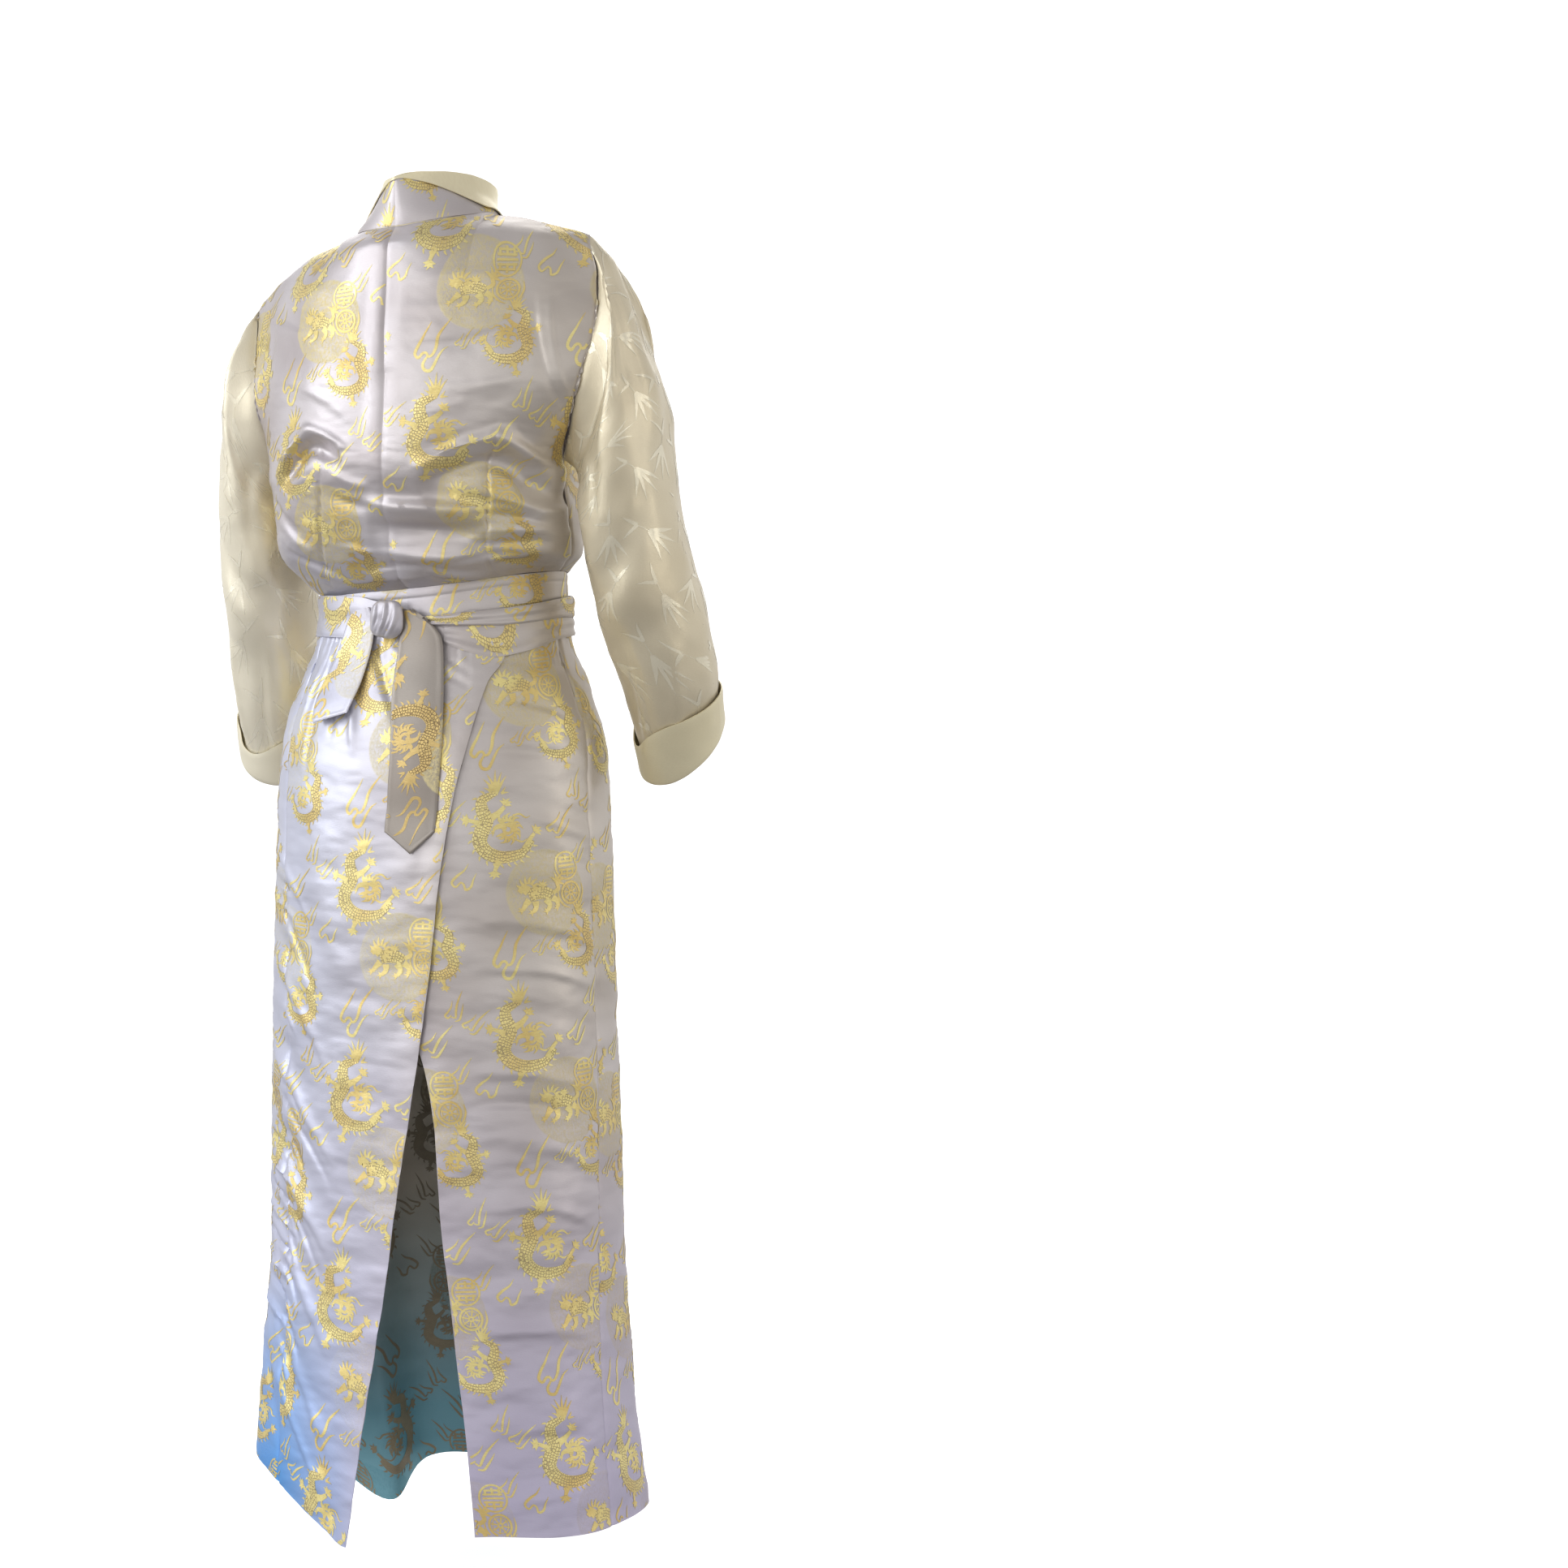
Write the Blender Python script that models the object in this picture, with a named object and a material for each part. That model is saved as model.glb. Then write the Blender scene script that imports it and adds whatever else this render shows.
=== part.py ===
"""A worn chuba dress of silk brocade, hollow, in the pose in which its wearer holds it up.

Metres, +Z up. The front of the dress faces -Y and the wearer's left is +X. The origin lies midway between
the shoulders, where the wearer carries the dress. Each piece that a maker cuts is one closed wall of cloth.
Angles go round the body in degrees, from 0 at the centre back through 90 at the wearer's right side to 180 at
the front.
"""

import math
from types import SimpleNamespace

import bmesh
import bpy
from mathutils import Vector
from mathutils.kdtree import KDTree

# Driving sizes
WALL = 0.0012
SEAM_GAP = 0.0003
CLOSED_FOLD = 0.4
ROUNDNESS = 2 / 2.2
NECK_COLUMNS = 6
SHOULDER_COLUMNS = 10
NECK_SHARE = 0.25
ARMHOLE_STEPS = 12
NECK_STEPS = 5
BELOW_ARMHOLE = (0.437, 0.354, 0.270, 0.198, 0.135, 0.083, 0.042, 0.0)
SKIRT_ROWS = 22
UNDERARM = 0.52
SHOULDER_ROUNDING = 0.16
SETTLE = 0.24
CREASE_RADIUS = 0.175
WAISTBAND_HEIGHT = 0.036
OVER_LAYER = 0.0022
FRONT_LAYER = 0.0030
FREE_EDGE_LIFT = 0.003


def smooth(keys, values, at):
    """The value at a key on a smooth curve through all the values, which may be numbers or vectors."""
    last = len(keys) - 1
    if at <= keys[0]:
        return values[0]
    if at >= keys[last]:
        return values[last]
    k = max(i for i in range(last) if keys[i] <= at)

    def slope(i):
        a, b = max(i - 1, 0), min(i + 1, last)
        return (values[b] - values[a]) / (keys[b] - keys[a])

    span = keys[k + 1] - keys[k]
    t = (at - keys[k]) / span
    start = values[k] * (2 * t**3 - 3 * t**2 + 1) + slope(k) * (span * (t**3 - 2 * t**2 + t))
    end = values[k + 1] * (3 * t**2 - 2 * t**3) + slope(k + 1) * (span * (t**3 - t**2))
    return start + end


def step(low, high, at):
    """0 up to low, 1 from high, and a soft ramp between."""
    t = min(max((at - low) / (high - low), 0), 1)
    return t * t * (3 - 2 * t)


class Table:
    """Rows of named columns, read at any value of the first column along smooth curves."""

    def __init__(self, columns, *rows):
        self.names = columns.split()
        self.rows = sorted(rows)
        self.keys = [row[0] for row in self.rows]

    def column(self, name, at):
        k = self.names.index(name)
        return smooth(self.keys, [row[k] for row in self.rows], at)

    def at(self, key):
        return SimpleNamespace(**{name: self.column(name, key) for name in self.names})


# The body of the skirt: level sections from the waist to the hem
SKIRT = Table(
    "z centre_x centre_y half back front",
    (-1.440, -0.006, -0.060, 0.219, 0.203, 0.193),
    (-1.404, -0.006, -0.060, 0.217, 0.200, 0.190),
    (-1.318, 0.000, -0.058, 0.213, 0.190, 0.180),
    (-1.225, 0.003, -0.057, 0.2075, 0.180, 0.170),
    (-1.141, 0.002, -0.055, 0.2015, 0.172, 0.160),
    (-0.993, 0.003, -0.052, 0.199, 0.164, 0.150),
    (-0.810, 0.003, -0.050, 0.195, 0.158, 0.140),
    (-0.682, 0.002, -0.050, 0.1915, 0.156, 0.134),
    (-0.591, 0.002, -0.050, 0.188, 0.150, 0.130),
    (-0.537, 0.002, -0.050, 0.183, 0.140, 0.124),
    (-0.487, 0.002, -0.050, 0.166, 0.124, 0.116),
    (-0.446, 0.002, -0.050, 0.148, 0.108, 0.108),
    (-0.410, 0.001, -0.048, 0.142, 0.098, 0.100),
    (-0.340, 0.002, -0.045, 0.142, 0.097, 0.100),
)

# The hem's height round the skirt, which rides up at the wearer's left
HEM = Table(
    "angle z",
    (-180, -1.402),
    (-150, -1.402),
    (-128, -1.440),
    (-112, -1.395),
    (-90, -1.340),
    (-60, -1.345),
    (-41, -1.365),
    (-26, -1.388),
    (-18, -1.402),
    (-9, -1.417),
    (26, -1.399),
    (53, -1.405),
    (90, -1.405),
    (130, -1.404),
    (180, -1.402),
)

# Flutes that grow from a start height down to the hem, out or in
FLUTES = (
    dict(angle=-132, width=13, start=-1.02, depth=-0.060),
    dict(angle=-104, width=14, start=-0.95, depth=0.010),
    dict(angle=152, width=16, start=-0.90, depth=0.014),
    dict(angle=178, width=13, start=-0.95, depth=-0.012),
    dict(angle=118, width=12, start=-1.00, depth=-0.008),
    dict(angle=-58, width=10, start=-1.05, depth=0.007),
    dict(angle=62, width=12, start=-1.05, depth=0.006),
)

# Folds of the skirt: round the body and down, each a soft trough or ridge between two places
SKIRT_FOLDS = (
    dict(start=(-62, -0.84), end=(-22, -0.95), width=0.016, depth=-0.0045),
    dict(start=(-64, -0.93), end=(-18, -1.06), width=0.018, depth=-0.0050),
    dict(start=(-60, -1.03), end=(-22, -1.16), width=0.018, depth=-0.0045),
    dict(start=(-66, -0.74), end=(-30, -0.80), width=0.014, depth=-0.0035),
    dict(start=(-58, -1.13), end=(-20, -1.29), width=0.020, depth=-0.0050),
    dict(start=(20, -0.60), end=(84, -0.64), width=0.020, depth=-0.0030),
    dict(start=(30, -0.70), end=(88, -0.74), width=0.022, depth=-0.0030),
)

# The bodice, from the waistband up to the shoulder seam: the middle of each row and its two sides
BACK = Table(
    "up mid_x mid_y mid_z right_x right_y right_z left_x left_y left_z soft",
    (0.00, 0.002, 0.052, -0.378, -0.140, -0.045, -0.359, 0.144, -0.045, -0.387, 0.91),
    (0.05, 0.002, 0.070, -0.366, -0.151, -0.030, -0.352, 0.156, -0.030, -0.372, 0.91),
    (0.13, 0.002, 0.091, -0.343, -0.166, -0.015, -0.338, 0.175, -0.015, -0.345, 0.91),
    (0.24, 0.000, 0.105, -0.311, -0.171, 0.000, -0.306, 0.174, 0.000, -0.315, 0.91),
    (0.40, -0.003, 0.120, -0.266, -0.168, 0.008, -0.264, 0.177, 0.000, -0.270, 0.91),
    (0.45, -0.004, 0.123, -0.256, -0.167, 0.009, -0.256, 0.180, -0.003, -0.262, 0.91),
    (UNDERARM, -0.005, 0.126, -0.235, -0.167, 0.012, -0.238, 0.185, -0.008, -0.245, 1.0),
    (0.68, -0.006, 0.122, -0.165, -0.205, 0.060, -0.160, 0.199, 0.020, -0.175, 1.8),
    (0.80, -0.004, 0.117, -0.105, -0.220, 0.047, -0.092, 0.207, 0.005, -0.122, 2.0),
    (0.90, -0.002, 0.105, -0.048, -0.215, 0.031, -0.042, 0.213, -0.012, -0.080, 2.1),
)

FRONT = Table(
    "up mid_x mid_y mid_z right_x right_y right_z left_x left_y left_z soft",
    (0.00, 0.002, -0.145, -0.372, -0.140, -0.045, -0.359, 0.144, -0.045, -0.387, 0.91),
    (0.05, 0.002, -0.150, -0.362, -0.151, -0.030, -0.352, 0.156, -0.030, -0.372, 0.91),
    (0.13, 0.002, -0.154, -0.342, -0.166, -0.015, -0.338, 0.175, -0.015, -0.345, 0.91),
    (0.24, 0.002, -0.152, -0.311, -0.171, 0.000, -0.306, 0.174, 0.000, -0.315, 0.91),
    (0.40, 0.002, -0.154, -0.262, -0.168, 0.008, -0.264, 0.177, 0.000, -0.270, 0.88),
    (0.45, 0.002, -0.155, -0.250, -0.167, 0.009, -0.256, 0.180, -0.003, -0.262, 0.87),
    (UNDERARM, 0.002, -0.155, -0.225, -0.167, 0.012, -0.238, 0.185, -0.008, -0.245, 0.86),
    (0.58, 0.002, -0.152, -0.200, -0.171, -0.010, -0.212, 0.187, -0.038, -0.220, 1.0),
    (0.68, 0.002, -0.146, -0.160, -0.178, -0.035, -0.165, 0.190, -0.072, -0.175, 1.3),
    (0.80, 0.002, -0.130, -0.110, -0.188, -0.046, -0.100, 0.197, -0.083, -0.122, 1.6),
    (0.90, 0.002, -0.112, -0.060, -0.202, -0.020, -0.042, 0.207, -0.063, -0.082, 2.0),
)

SHOULDER_TIP = {"right": Vector((-0.200, 0.013, 0.003)), "left": Vector((0.213, -0.030, -0.055))}
SHOULDER_CROWN = {"right": 0.003, "left": 0.010}

# Folds of the back of the bodice, placed by x and z
BODICE_FOLDS = (
    dict(start=(0.128, -0.262), end=(0.090, -0.212), width=0.011, depth=-0.0060),
    dict(start=(0.094, -0.212), end=(0.046, -0.232), width=0.010, depth=-0.0050),
    dict(start=(-0.048, -0.240), end=(-0.128, -0.212), width=0.012, depth=-0.0060),
    dict(start=(-0.120, -0.212), end=(-0.174, -0.282), width=0.012, depth=-0.0050),
    dict(start=(0.012, -0.276), end=(-0.150, -0.286), width=0.011, depth=-0.0050),
    dict(start=(-0.010, 0.000), end=(-0.004, -0.270), width=0.008, depth=-0.0030),
    dict(start=(0.070, -0.352), end=(-0.060, -0.350), width=0.008, depth=-0.0040),
    dict(start=(-0.060, -0.318), end=(-0.166, -0.300), width=0.009, depth=-0.0040),
    dict(start=(0.160, -0.300), end=(0.100, -0.330), width=0.010, depth=-0.0035),
)

# The neck opening and the stand collar: level 0 at the neck seam, 1 at the top edge
COLLAR = Table(
    "level centre_y half back front point",
    (0.0, -0.017, 0.079, 0.095, 0.090, 1.00),
    (0.5, -0.030, 0.064, 0.108, 0.076, 1.18),
    (1.0, -0.050, 0.057, 0.128, 0.060, 1.38),
)

COLLAR_HEIGHTS = Table(
    "angle seam top",
    (-150, -0.045, 0.030),
    (-120, -0.018, 0.042),
    (-88, 0.012, 0.052),
    (-45, 0.010, 0.060),
    (0, 0.013, 0.064),
    (30, 0.020, 0.071),
    (60, 0.028, 0.073),
    (88, 0.031, 0.066),
    (120, 0.006, 0.058),
    (150, -0.035, 0.040),
)
NECK_SIDE = 88
COLLAR_END = 140
COLLAR_ROWS = 4
FACING_GAP = 0.0008
FACING_LIFT = 0.004
TURNED_FACING = Table(
    "angle width",
    (0, 0.002),
    (12, 0.003),
    (35, 0.013),
    (60, 0.027),
    (88, 0.038),
    (140, 0.055),
)

# Sleeves: for each ring the outer point, the inner point, the middle's y, its half depth, how far its back
# hangs, and how far its back and front bow outwards
SLEEVES = {
    "right": Table(
        "ring out_x out_z in_x in_z y depth drop bow",
        (1, -0.217, -0.020, -0.181, -0.251, 0.004, 0.054, 0.000, 0.040),
        (2, -0.231, -0.058, -0.184, -0.262, 0.001, 0.061, 0.000, 0.034),
        (3, -0.250, -0.108, -0.186, -0.274, -0.001, 0.067, 0.000, 0.023),
        (4, -0.274, -0.170, -0.186, -0.290, -0.005, 0.073, 0.000, 0.014),
        (5, -0.281, -0.240, -0.186, -0.312, -0.012, 0.075, 0.000, 0.006),
        (6, -0.289, -0.310, -0.187, -0.345, -0.025, 0.078, 0.002, 0.000),
        (7, -0.298, -0.375, -0.189, -0.390, -0.045, 0.078, 0.004, 0.000),
        (8, -0.304, -0.430, -0.193, -0.432, -0.065, 0.072, 0.008, 0.000),
        (9, -0.303, -0.475, -0.202, -0.480, -0.088, 0.062, 0.018, 0.000),
        (10, -0.296, -0.510, -0.206, -0.522, -0.112, 0.054, 0.030, 0.000),
        (11, -0.289, -0.540, -0.207, -0.555, -0.136, 0.050, 0.040, 0.000),
    ),
    "left": Table(
        "ring out_x out_z in_x in_z y depth drop bow",
        (1, 0.225, -0.082, 0.192, -0.259, -0.030, 0.054, 0.000, 0.022),
        (2, 0.241, -0.123, 0.193, -0.270, -0.037, 0.058, 0.000, 0.018),
        (3, 0.253, -0.170, 0.192, -0.283, -0.045, 0.063, 0.000, 0.013),
        (4, 0.265, -0.225, 0.188, -0.298, -0.053, 0.068, 0.000, 0.008),
        (5, 0.274, -0.285, 0.186, -0.322, -0.062, 0.070, 0.000, 0.003),
        (6, 0.282, -0.345, 0.184, -0.360, -0.072, 0.070, 0.002, 0.000),
        (7, 0.286, -0.400, 0.185, -0.405, -0.086, 0.066, 0.004, 0.000),
        (8, 0.291, -0.450, 0.189, -0.455, -0.102, 0.060, 0.008, 0.000),
        (9, 0.294, -0.498, 0.196, -0.508, -0.120, 0.054, 0.018, 0.000),
        (10, 0.297, -0.526, 0.201, -0.543, -0.136, 0.050, 0.028, 0.000),
        (11, 0.299, -0.548, 0.206, -0.572, -0.150, 0.049, 0.036, 0.000),
    ),
}
SLEEVE_FOLDS = {
    "right": (
        dict(start=(-0.05, 0.4), end=(0.06, 5.0), width=0.035, depth=0.0060),
        dict(start=(0.08, 0.6), end=(0.16, 4.4), width=0.028, depth=-0.0050),
        dict(start=(0.16, 5.6), end=(0.34, 6.4), width=0.030, depth=-0.0040),
        dict(start=(0.30, 7.0), end=(0.38, 10.6), width=0.035, depth=-0.0060),
    ),
    "left": (
        dict(start=(-0.04, 0.4), end=(0.05, 4.6), width=0.035, depth=0.0050),
        dict(start=(0.09, 0.6), end=(0.15, 4.0), width=0.028, depth=-0.0040),
        dict(start=(0.14, 5.4), end=(0.30, 6.2), width=0.030, depth=-0.0040),
        dict(start=(0.06, 7.0), end=(0.12, 10.6), width=0.035, depth=-0.0050),
    ),
}

SLEEVE_COLUMNS = 2 * ARMHOLE_STEPS
RING_SCALE = 0.05

# Turned-back cuffs: how far out from the sleeve and how far along it, from the sleeve's end round the fold
# and up
CUFF_PROFILE = (
    dict(out=-0.0012, along=0.0003),
    dict(out=-0.0002, along=0.0034),
    dict(out=0.0026, along=0.0052),
    dict(out=0.0048, along=0.0034),
    dict(out=0.0054, along=-0.0010),
)
CUFF_FLARE = 0.0015
CUFF_RINGS = {"right": 1.35, "left": 1.4}
CUFF_NOTCH = {"right": 0.41, "left": 0.19}
CUFF_NOTCH_WIDTH = 42
CUFF_NOTCH_DEPTH = 0.45

# The free edges of the skirt's two backs, as angles at each height
OVER_EDGE = Table(
    "z angle",
    (-0.380, 52),
    (-0.451, 44),
    (-0.480, 34),
    (-0.548, 25),
    (-0.670, 17.4),
    (-0.793, 13.5),
    (-0.890, 9.7),
    (-1.040, 3.6),
    (-1.138, 0.6),
    (-1.235, -2.0),
    (-1.420, -9.5),
)
UNDER_EDGE = Table(
    "z angle",
    (-0.380, -40),
    (-0.700, -14),
    (-0.889, 11),
    (-1.082, 17.2),
    (-1.187, 21),
    (-1.300, 24.5),
    (-1.420, 25.8),
)
LEFT_SEAM = Table("z angle", (-0.400, -56), (-0.740, -45.6), (-0.893, -43.4), (-1.420, -41))
RIGHT_SEAM = Table("z angle", (-0.400, 84), (-0.620, 80), (-0.800, 82), (-0.980, 82), (-1.420, 74))

# The waist: the top of the waistband and the two windings of the belt, as heights round the body
WAISTBAND_TOP = Table(
    "angle z",
    (-180, -0.374),
    (-135, -0.382),
    (-90, -0.387),
    (-45, -0.386),
    (0, -0.378),
    (45, -0.3645),
    (90, -0.359),
    (135, -0.365),
    (180, -0.374),
)
UPPER_BELT = Table(
    "angle top low",
    (-12, -0.392, -0.428),
    (-22, -0.387, -0.431),
    (-48, -0.386, -0.431),
    (-90, -0.387, -0.432),
    (-150, -0.386, -0.430),
    (-200, -0.386, -0.420),
    (-240, -0.386, -0.412),
    (-272, -0.388, -0.4095),
    (-305, -0.396, -0.415),
    (-320, -0.400, -0.417),
    (-353, -0.4075, -0.418),
)
LOWER_BELT = Table(
    "angle top low",
    (-60, -0.420, -0.430),
    (-150, -0.418, -0.4285),
    (-200, -0.414, -0.428),
    (-240, -0.409, -0.430),
    (-275, -0.4075, -0.432),
    (-306, -0.412, -0.446),
    (-324, -0.415, -0.451),
    (-344, -0.4165, -0.437),
)
UPPER_BELT_OUT = 0.0040
LOWER_BELT_OUT = 0.0022
BELT_STEP = 7
WAISTBAND_STEP = 7.5

KNOT = dict(angle=-5, z=-0.411, out=0.0180, half_across=0.019, half_out=0.0100, half_up=0.020)
KNOT_SEGMENTS = 20
KNOT_GROOVES = 5
KNOT_GROOVE_DEPTH = 0.06

# Belt tails: the two edges of each row, how far they stand out, and how far the middle hangs below
SHORT_TAIL = (
    dict(left=(-24, -0.403), right=(-15, -0.398), out=0.0085, point=0),
    dict(left=(-27, -0.416), right=(-12.5, -0.413), out=0.0092, point=0),
    dict(left=(-28, -0.434), right=(-11.5, -0.437), out=0.0100, point=0),
    dict(left=(-30, -0.462), right=(-12, -0.460), out=0.0090, point=0),
    dict(left=(-31.4, -0.488), right=(-12.4, -0.480), out=0.0095, point=0),
    dict(left=(-30.5, -0.506), right=(-13.3, -0.498), out=0.0120, point=0),
    dict(left=(-28.0, -0.524), right=(-14.1, -0.512), out=0.0140, point=0),
)
LONG_TAIL = (
    dict(left=(-2, -0.399), right=(3, -0.401), out=0.0100, point=0),
    dict(left=(-1, -0.411), right=(8, -0.411), out=0.0105, point=0),
    dict(left=(-0.5, -0.424), right=(13, -0.422), out=0.0110, point=0),
    dict(left=(-0.7, -0.440), right=(16, -0.438), out=0.0105, point=0),
    dict(left=(-0.4, -0.485), right=(16.8, -0.480), out=0.0095, point=0),
    dict(left=(0.5, -0.548), right=(16.6, -0.540), out=0.0062, point=0),
    dict(left=(0.5, -0.601), right=(16, -0.600), out=0.0058, point=0.003),
    dict(left=(0.1, -0.628), right=(15.4, -0.627), out=0.0060, point=0.012),
    dict(left=(0.1, -0.640), right=(14.8, -0.639), out=0.0063, point=0.024),
)
TAIL_WALL = 0.0020
TAIL_COLUMNS = 6

# The free edge of the wearer's left front: how far round from the middle it starts at each height, and its
# places above the crossing, up to the collar's end. The right front mirrors it.
FRONT_START = Table("up turn", (0.00, -36), (0.30, -18), (UNDERARM, 0), (0.70, 8), (0.82, 14))
FRONT_EDGE = Table(
    "share x y z",
    (0.00, 0.002, -0.155, -0.225),
    (0.55, 0.030, -0.133, -0.120),
    (1.00, 0.051, -0.086, -0.033),
)

MATERIALS = {
    "brocade": dict(color=(0.56, 0.53, 0.60, 1), roughness=0.38),
    "satin": dict(color=(0.70, 0.65, 0.47, 1), roughness=0.36),
    "facing": dict(color=(0.76, 0.72, 0.53, 1), roughness=0.40),
}
pieces = []


def material(name):
    made = bpy.data.materials.get(name)
    if made is None:
        made = bpy.data.materials.new(name)
        made.use_nodes = True
        shader = made.node_tree.nodes["Principled BSDF"]
        shader.inputs["Base Color"].default_value = MATERIALS[name]["color"]
        shader.inputs["Roughness"].default_value = MATERIALS[name]["roughness"]
    return made


def cloth(name, rows, finish, wall=WALL, ring=False):
    """Notes a piece by its outer points: rows go down, and columns go round towards the wearer's right."""
    pieces.append(SimpleNamespace(name=name, rows=rows, finish=finish, wall=wall, ring=ring))


def grid_faces(count, ring):
    """The column pairs of a grid, with the last one joined to the first where the piece is a tube."""
    return [(c, (c + 1) % count) for c in range(count if ring else count - 1)]


def wall_directions():
    """The way through the wall at every point, shared where pieces are sewn together at an open angle."""
    shell = bmesh.new()
    grids = []
    for piece in pieces:
        grid = [[shell.verts.new(point) for point in row] for row in piece.rows]
        for upper, lower in zip(grid, grid[1:]):
            for c, d in grid_faces(len(upper), piece.ring):
                shell.faces.new((upper[c], lower[c], lower[d], upper[d]))
        grids.append(grid)
    shell.normal_update()
    own = [[[vert.normal.copy() for vert in row] for row in grid] for grid in grids]
    bmesh.ops.remove_doubles(shell, verts=shell.verts, dist=1e-5)
    shell.normal_update()
    normals = [vert.normal.copy() for vert in shell.verts]
    places = KDTree(len(shell.verts))
    for k, vert in enumerate(shell.verts):
        places.insert(vert.co, k)
    places.balance()
    shell.free()

    def way(point, normal):
        sewn = normals[places.find(point)[1]]
        return sewn / sewn.dot(normal) if sewn.dot(normal) > CLOSED_FOLD else normal

    return [
        [[way(p, n) for p, n in zip(*rows)] for rows in zip(piece.rows, grid)]
        for piece, grid in zip(pieces, own)
    ]


def drawn_in(rows, through, ring):
    """The rows with their edges drawn in by half a seam gap, so that neighbours stay apart."""

    def inwards(r, c, nr, nc):
        across = through[r][c].normalized()
        along = rows[nr][nc] - rows[r][c]
        return (along - across * along.dot(across)).normalized() * (SEAM_GAP / 2)

    moved = [[point.copy() for point in row] for row in rows]
    last_r, last_c = len(rows) - 1, len(rows[0]) - 1
    for c in range(last_c + 1):
        moved[0][c] += inwards(0, c, 1, c)
        moved[last_r][c] += inwards(last_r, c, last_r - 1, c)
    if not ring:
        for r in range(last_r + 1):
            moved[r][0] += inwards(r, 0, r, 1)
            moved[r][last_c] += inwards(r, last_c, r, last_c - 1)
    return moved


def edge_face(shell, *corners):
    """A face of a cut edge, split along its shorter diagonal so that it matches the edge it is sewn to."""
    if (corners[0].co - corners[2].co).length > (corners[1].co - corners[3].co).length:
        corners = corners[1:] + corners[:1]
    shell.faces.new(corners[:3])
    shell.faces.new(corners[2:] + corners[:1])


def sew():
    """Makes each noted piece a closed wall of its own thickness."""
    for piece, through in zip(pieces, wall_directions()):
        outer = drawn_in(piece.rows, through, piece.ring)
        inner = [[p - n * piece.wall for p, n in zip(row, ways)] for row, ways in zip(outer, through)]
        shell = bmesh.new()
        front = [[shell.verts.new(point) for point in row] for row in outer]
        back = [[shell.verts.new(point) for point in row] for row in inner]
        for r in range(len(front) - 1):
            for c, d in grid_faces(len(front[0]), piece.ring):
                around = ((r, c), (r + 1, c), (r + 1, d), (r, d))
                if (outer[r][c] - outer[r + 1][d]).length > (outer[r + 1][c] - outer[r][d]).length:
                    around = around[1:] + around[:1]
                for corners in (around[:3], around[2:] + around[:1]):
                    shell.faces.new([front[i][j] for i, j in corners])
                    shell.faces.new([back[i][j] for i, j in reversed(corners)])
        for c, d in grid_faces(len(front[0]), piece.ring):
            edge_face(shell, front[0][c], front[0][d], back[0][d], back[0][c])
            edge_face(shell, front[-1][d], front[-1][c], back[-1][c], back[-1][d])
        if not piece.ring:
            for r in range(len(front) - 1):
                edge_face(shell, front[r + 1][0], front[r][0], back[r][0], back[r + 1][0])
                edge_face(shell, front[r][-1], front[r + 1][-1], back[r + 1][-1], back[r][-1])
        finished(piece.name, shell, piece.finish)


def finished(name, shell, finish):
    mesh = bpy.data.meshes.new(name)
    shell.to_mesh(mesh)
    shell.free()
    mesh.shade_smooth()
    mesh.materials.append(material(finish))
    bpy.context.scene.collection.objects.link(bpy.data.objects.new(name, mesh))


def power(value, exponent):
    return math.copysign(abs(value) ** exponent, value)


def steps(first, last, count):
    return [first + (last - first) * k / count for k in range(count + 1)]


def turned(angle):
    """The same angle between -180 and 180."""
    return (angle + 180) % 360 - 180


def folds_at(folds, across, up):
    """How far the folds of a table move the cloth at a place, out or in."""
    total = 0.0
    for fold in folds:
        (x0, y0), (x1, y1) = fold["start"], fold["end"]
        run, rise = x1 - x0, y1 - y0
        t = ((across - x0) * run + (up - y0) * rise) / (run**2 + rise**2)
        if 0 < t < 1:
            off = math.hypot(across - x0 - run * t, up - y0 - rise * t)
            total += fold["depth"] * math.sin(math.pi * t) * math.exp(-((off / fold["width"]) ** 2))
    return total


def scaled(folds, across, up):
    """The same folds with their places in other units."""
    return tuple(
        dict(
            start=(fold["start"][0] * across, fold["start"][1] * up),
            end=(fold["end"][0] * across, fold["end"][1] * up),
            width=fold["width"],
            depth=fold["depth"],
        )
        for fold in folds
    )


SKIRT_CREASES = scaled(SKIRT_FOLDS, math.radians(CREASE_RADIUS), 1)


def skirt_point(angle, z, out=0.0):
    """A place on the skirt, with its flutes and folds."""
    section = SKIRT.at(z)
    angle = turned(angle)
    out += folds_at(SKIRT_CREASES, math.radians(angle) * CREASE_RADIUS, z)
    for flute in FLUTES:
        away = turned(angle - flute["angle"]) / flute["width"]
        if z < flute["start"]:
            grown = ((flute["start"] - z) / (flute["start"] - HEM.column("z", flute["angle"]))) ** 1.5
            out += flute["depth"] * grown * math.exp(-(away**2))
    s, c = math.sin(math.radians(angle)), math.cos(math.radians(angle))
    depth = section.back if c > 0 else section.front
    return Vector(
        (
            section.centre_x - (section.half + out) * power(s, ROUNDNESS),
            section.centre_y + (depth + out) * power(c, ROUNDNESS),
            z,
        )
    )


def skirt_panel(name, first, last, columns, out=None):
    """A skirt panel between two edges, each an angle by height. Its rows are closest at the waist."""
    grid = []
    for v in steps(0, 1, SKIRT_ROWS):
        row = []
        for u in steps(0, 1, columns):
            waist_angle = first(-0.40) + (last(-0.40) - first(-0.40)) * u
            hem_angle = first(-1.42) + (last(-1.42) - first(-1.42)) * u
            top = WAISTBAND_TOP.column("z", turned(waist_angle)) - WAISTBAND_HEIGHT
            z = top + (HEM.column("z", turned(hem_angle)) - top) * v**1.6
            angle = first(z) + (last(z) - first(z)) * u
            row.append(skirt_point(angle, z, out(angle, z) if out else 0.0))
        grid.append(row)
    cloth(name, grid, "brocade")


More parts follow.
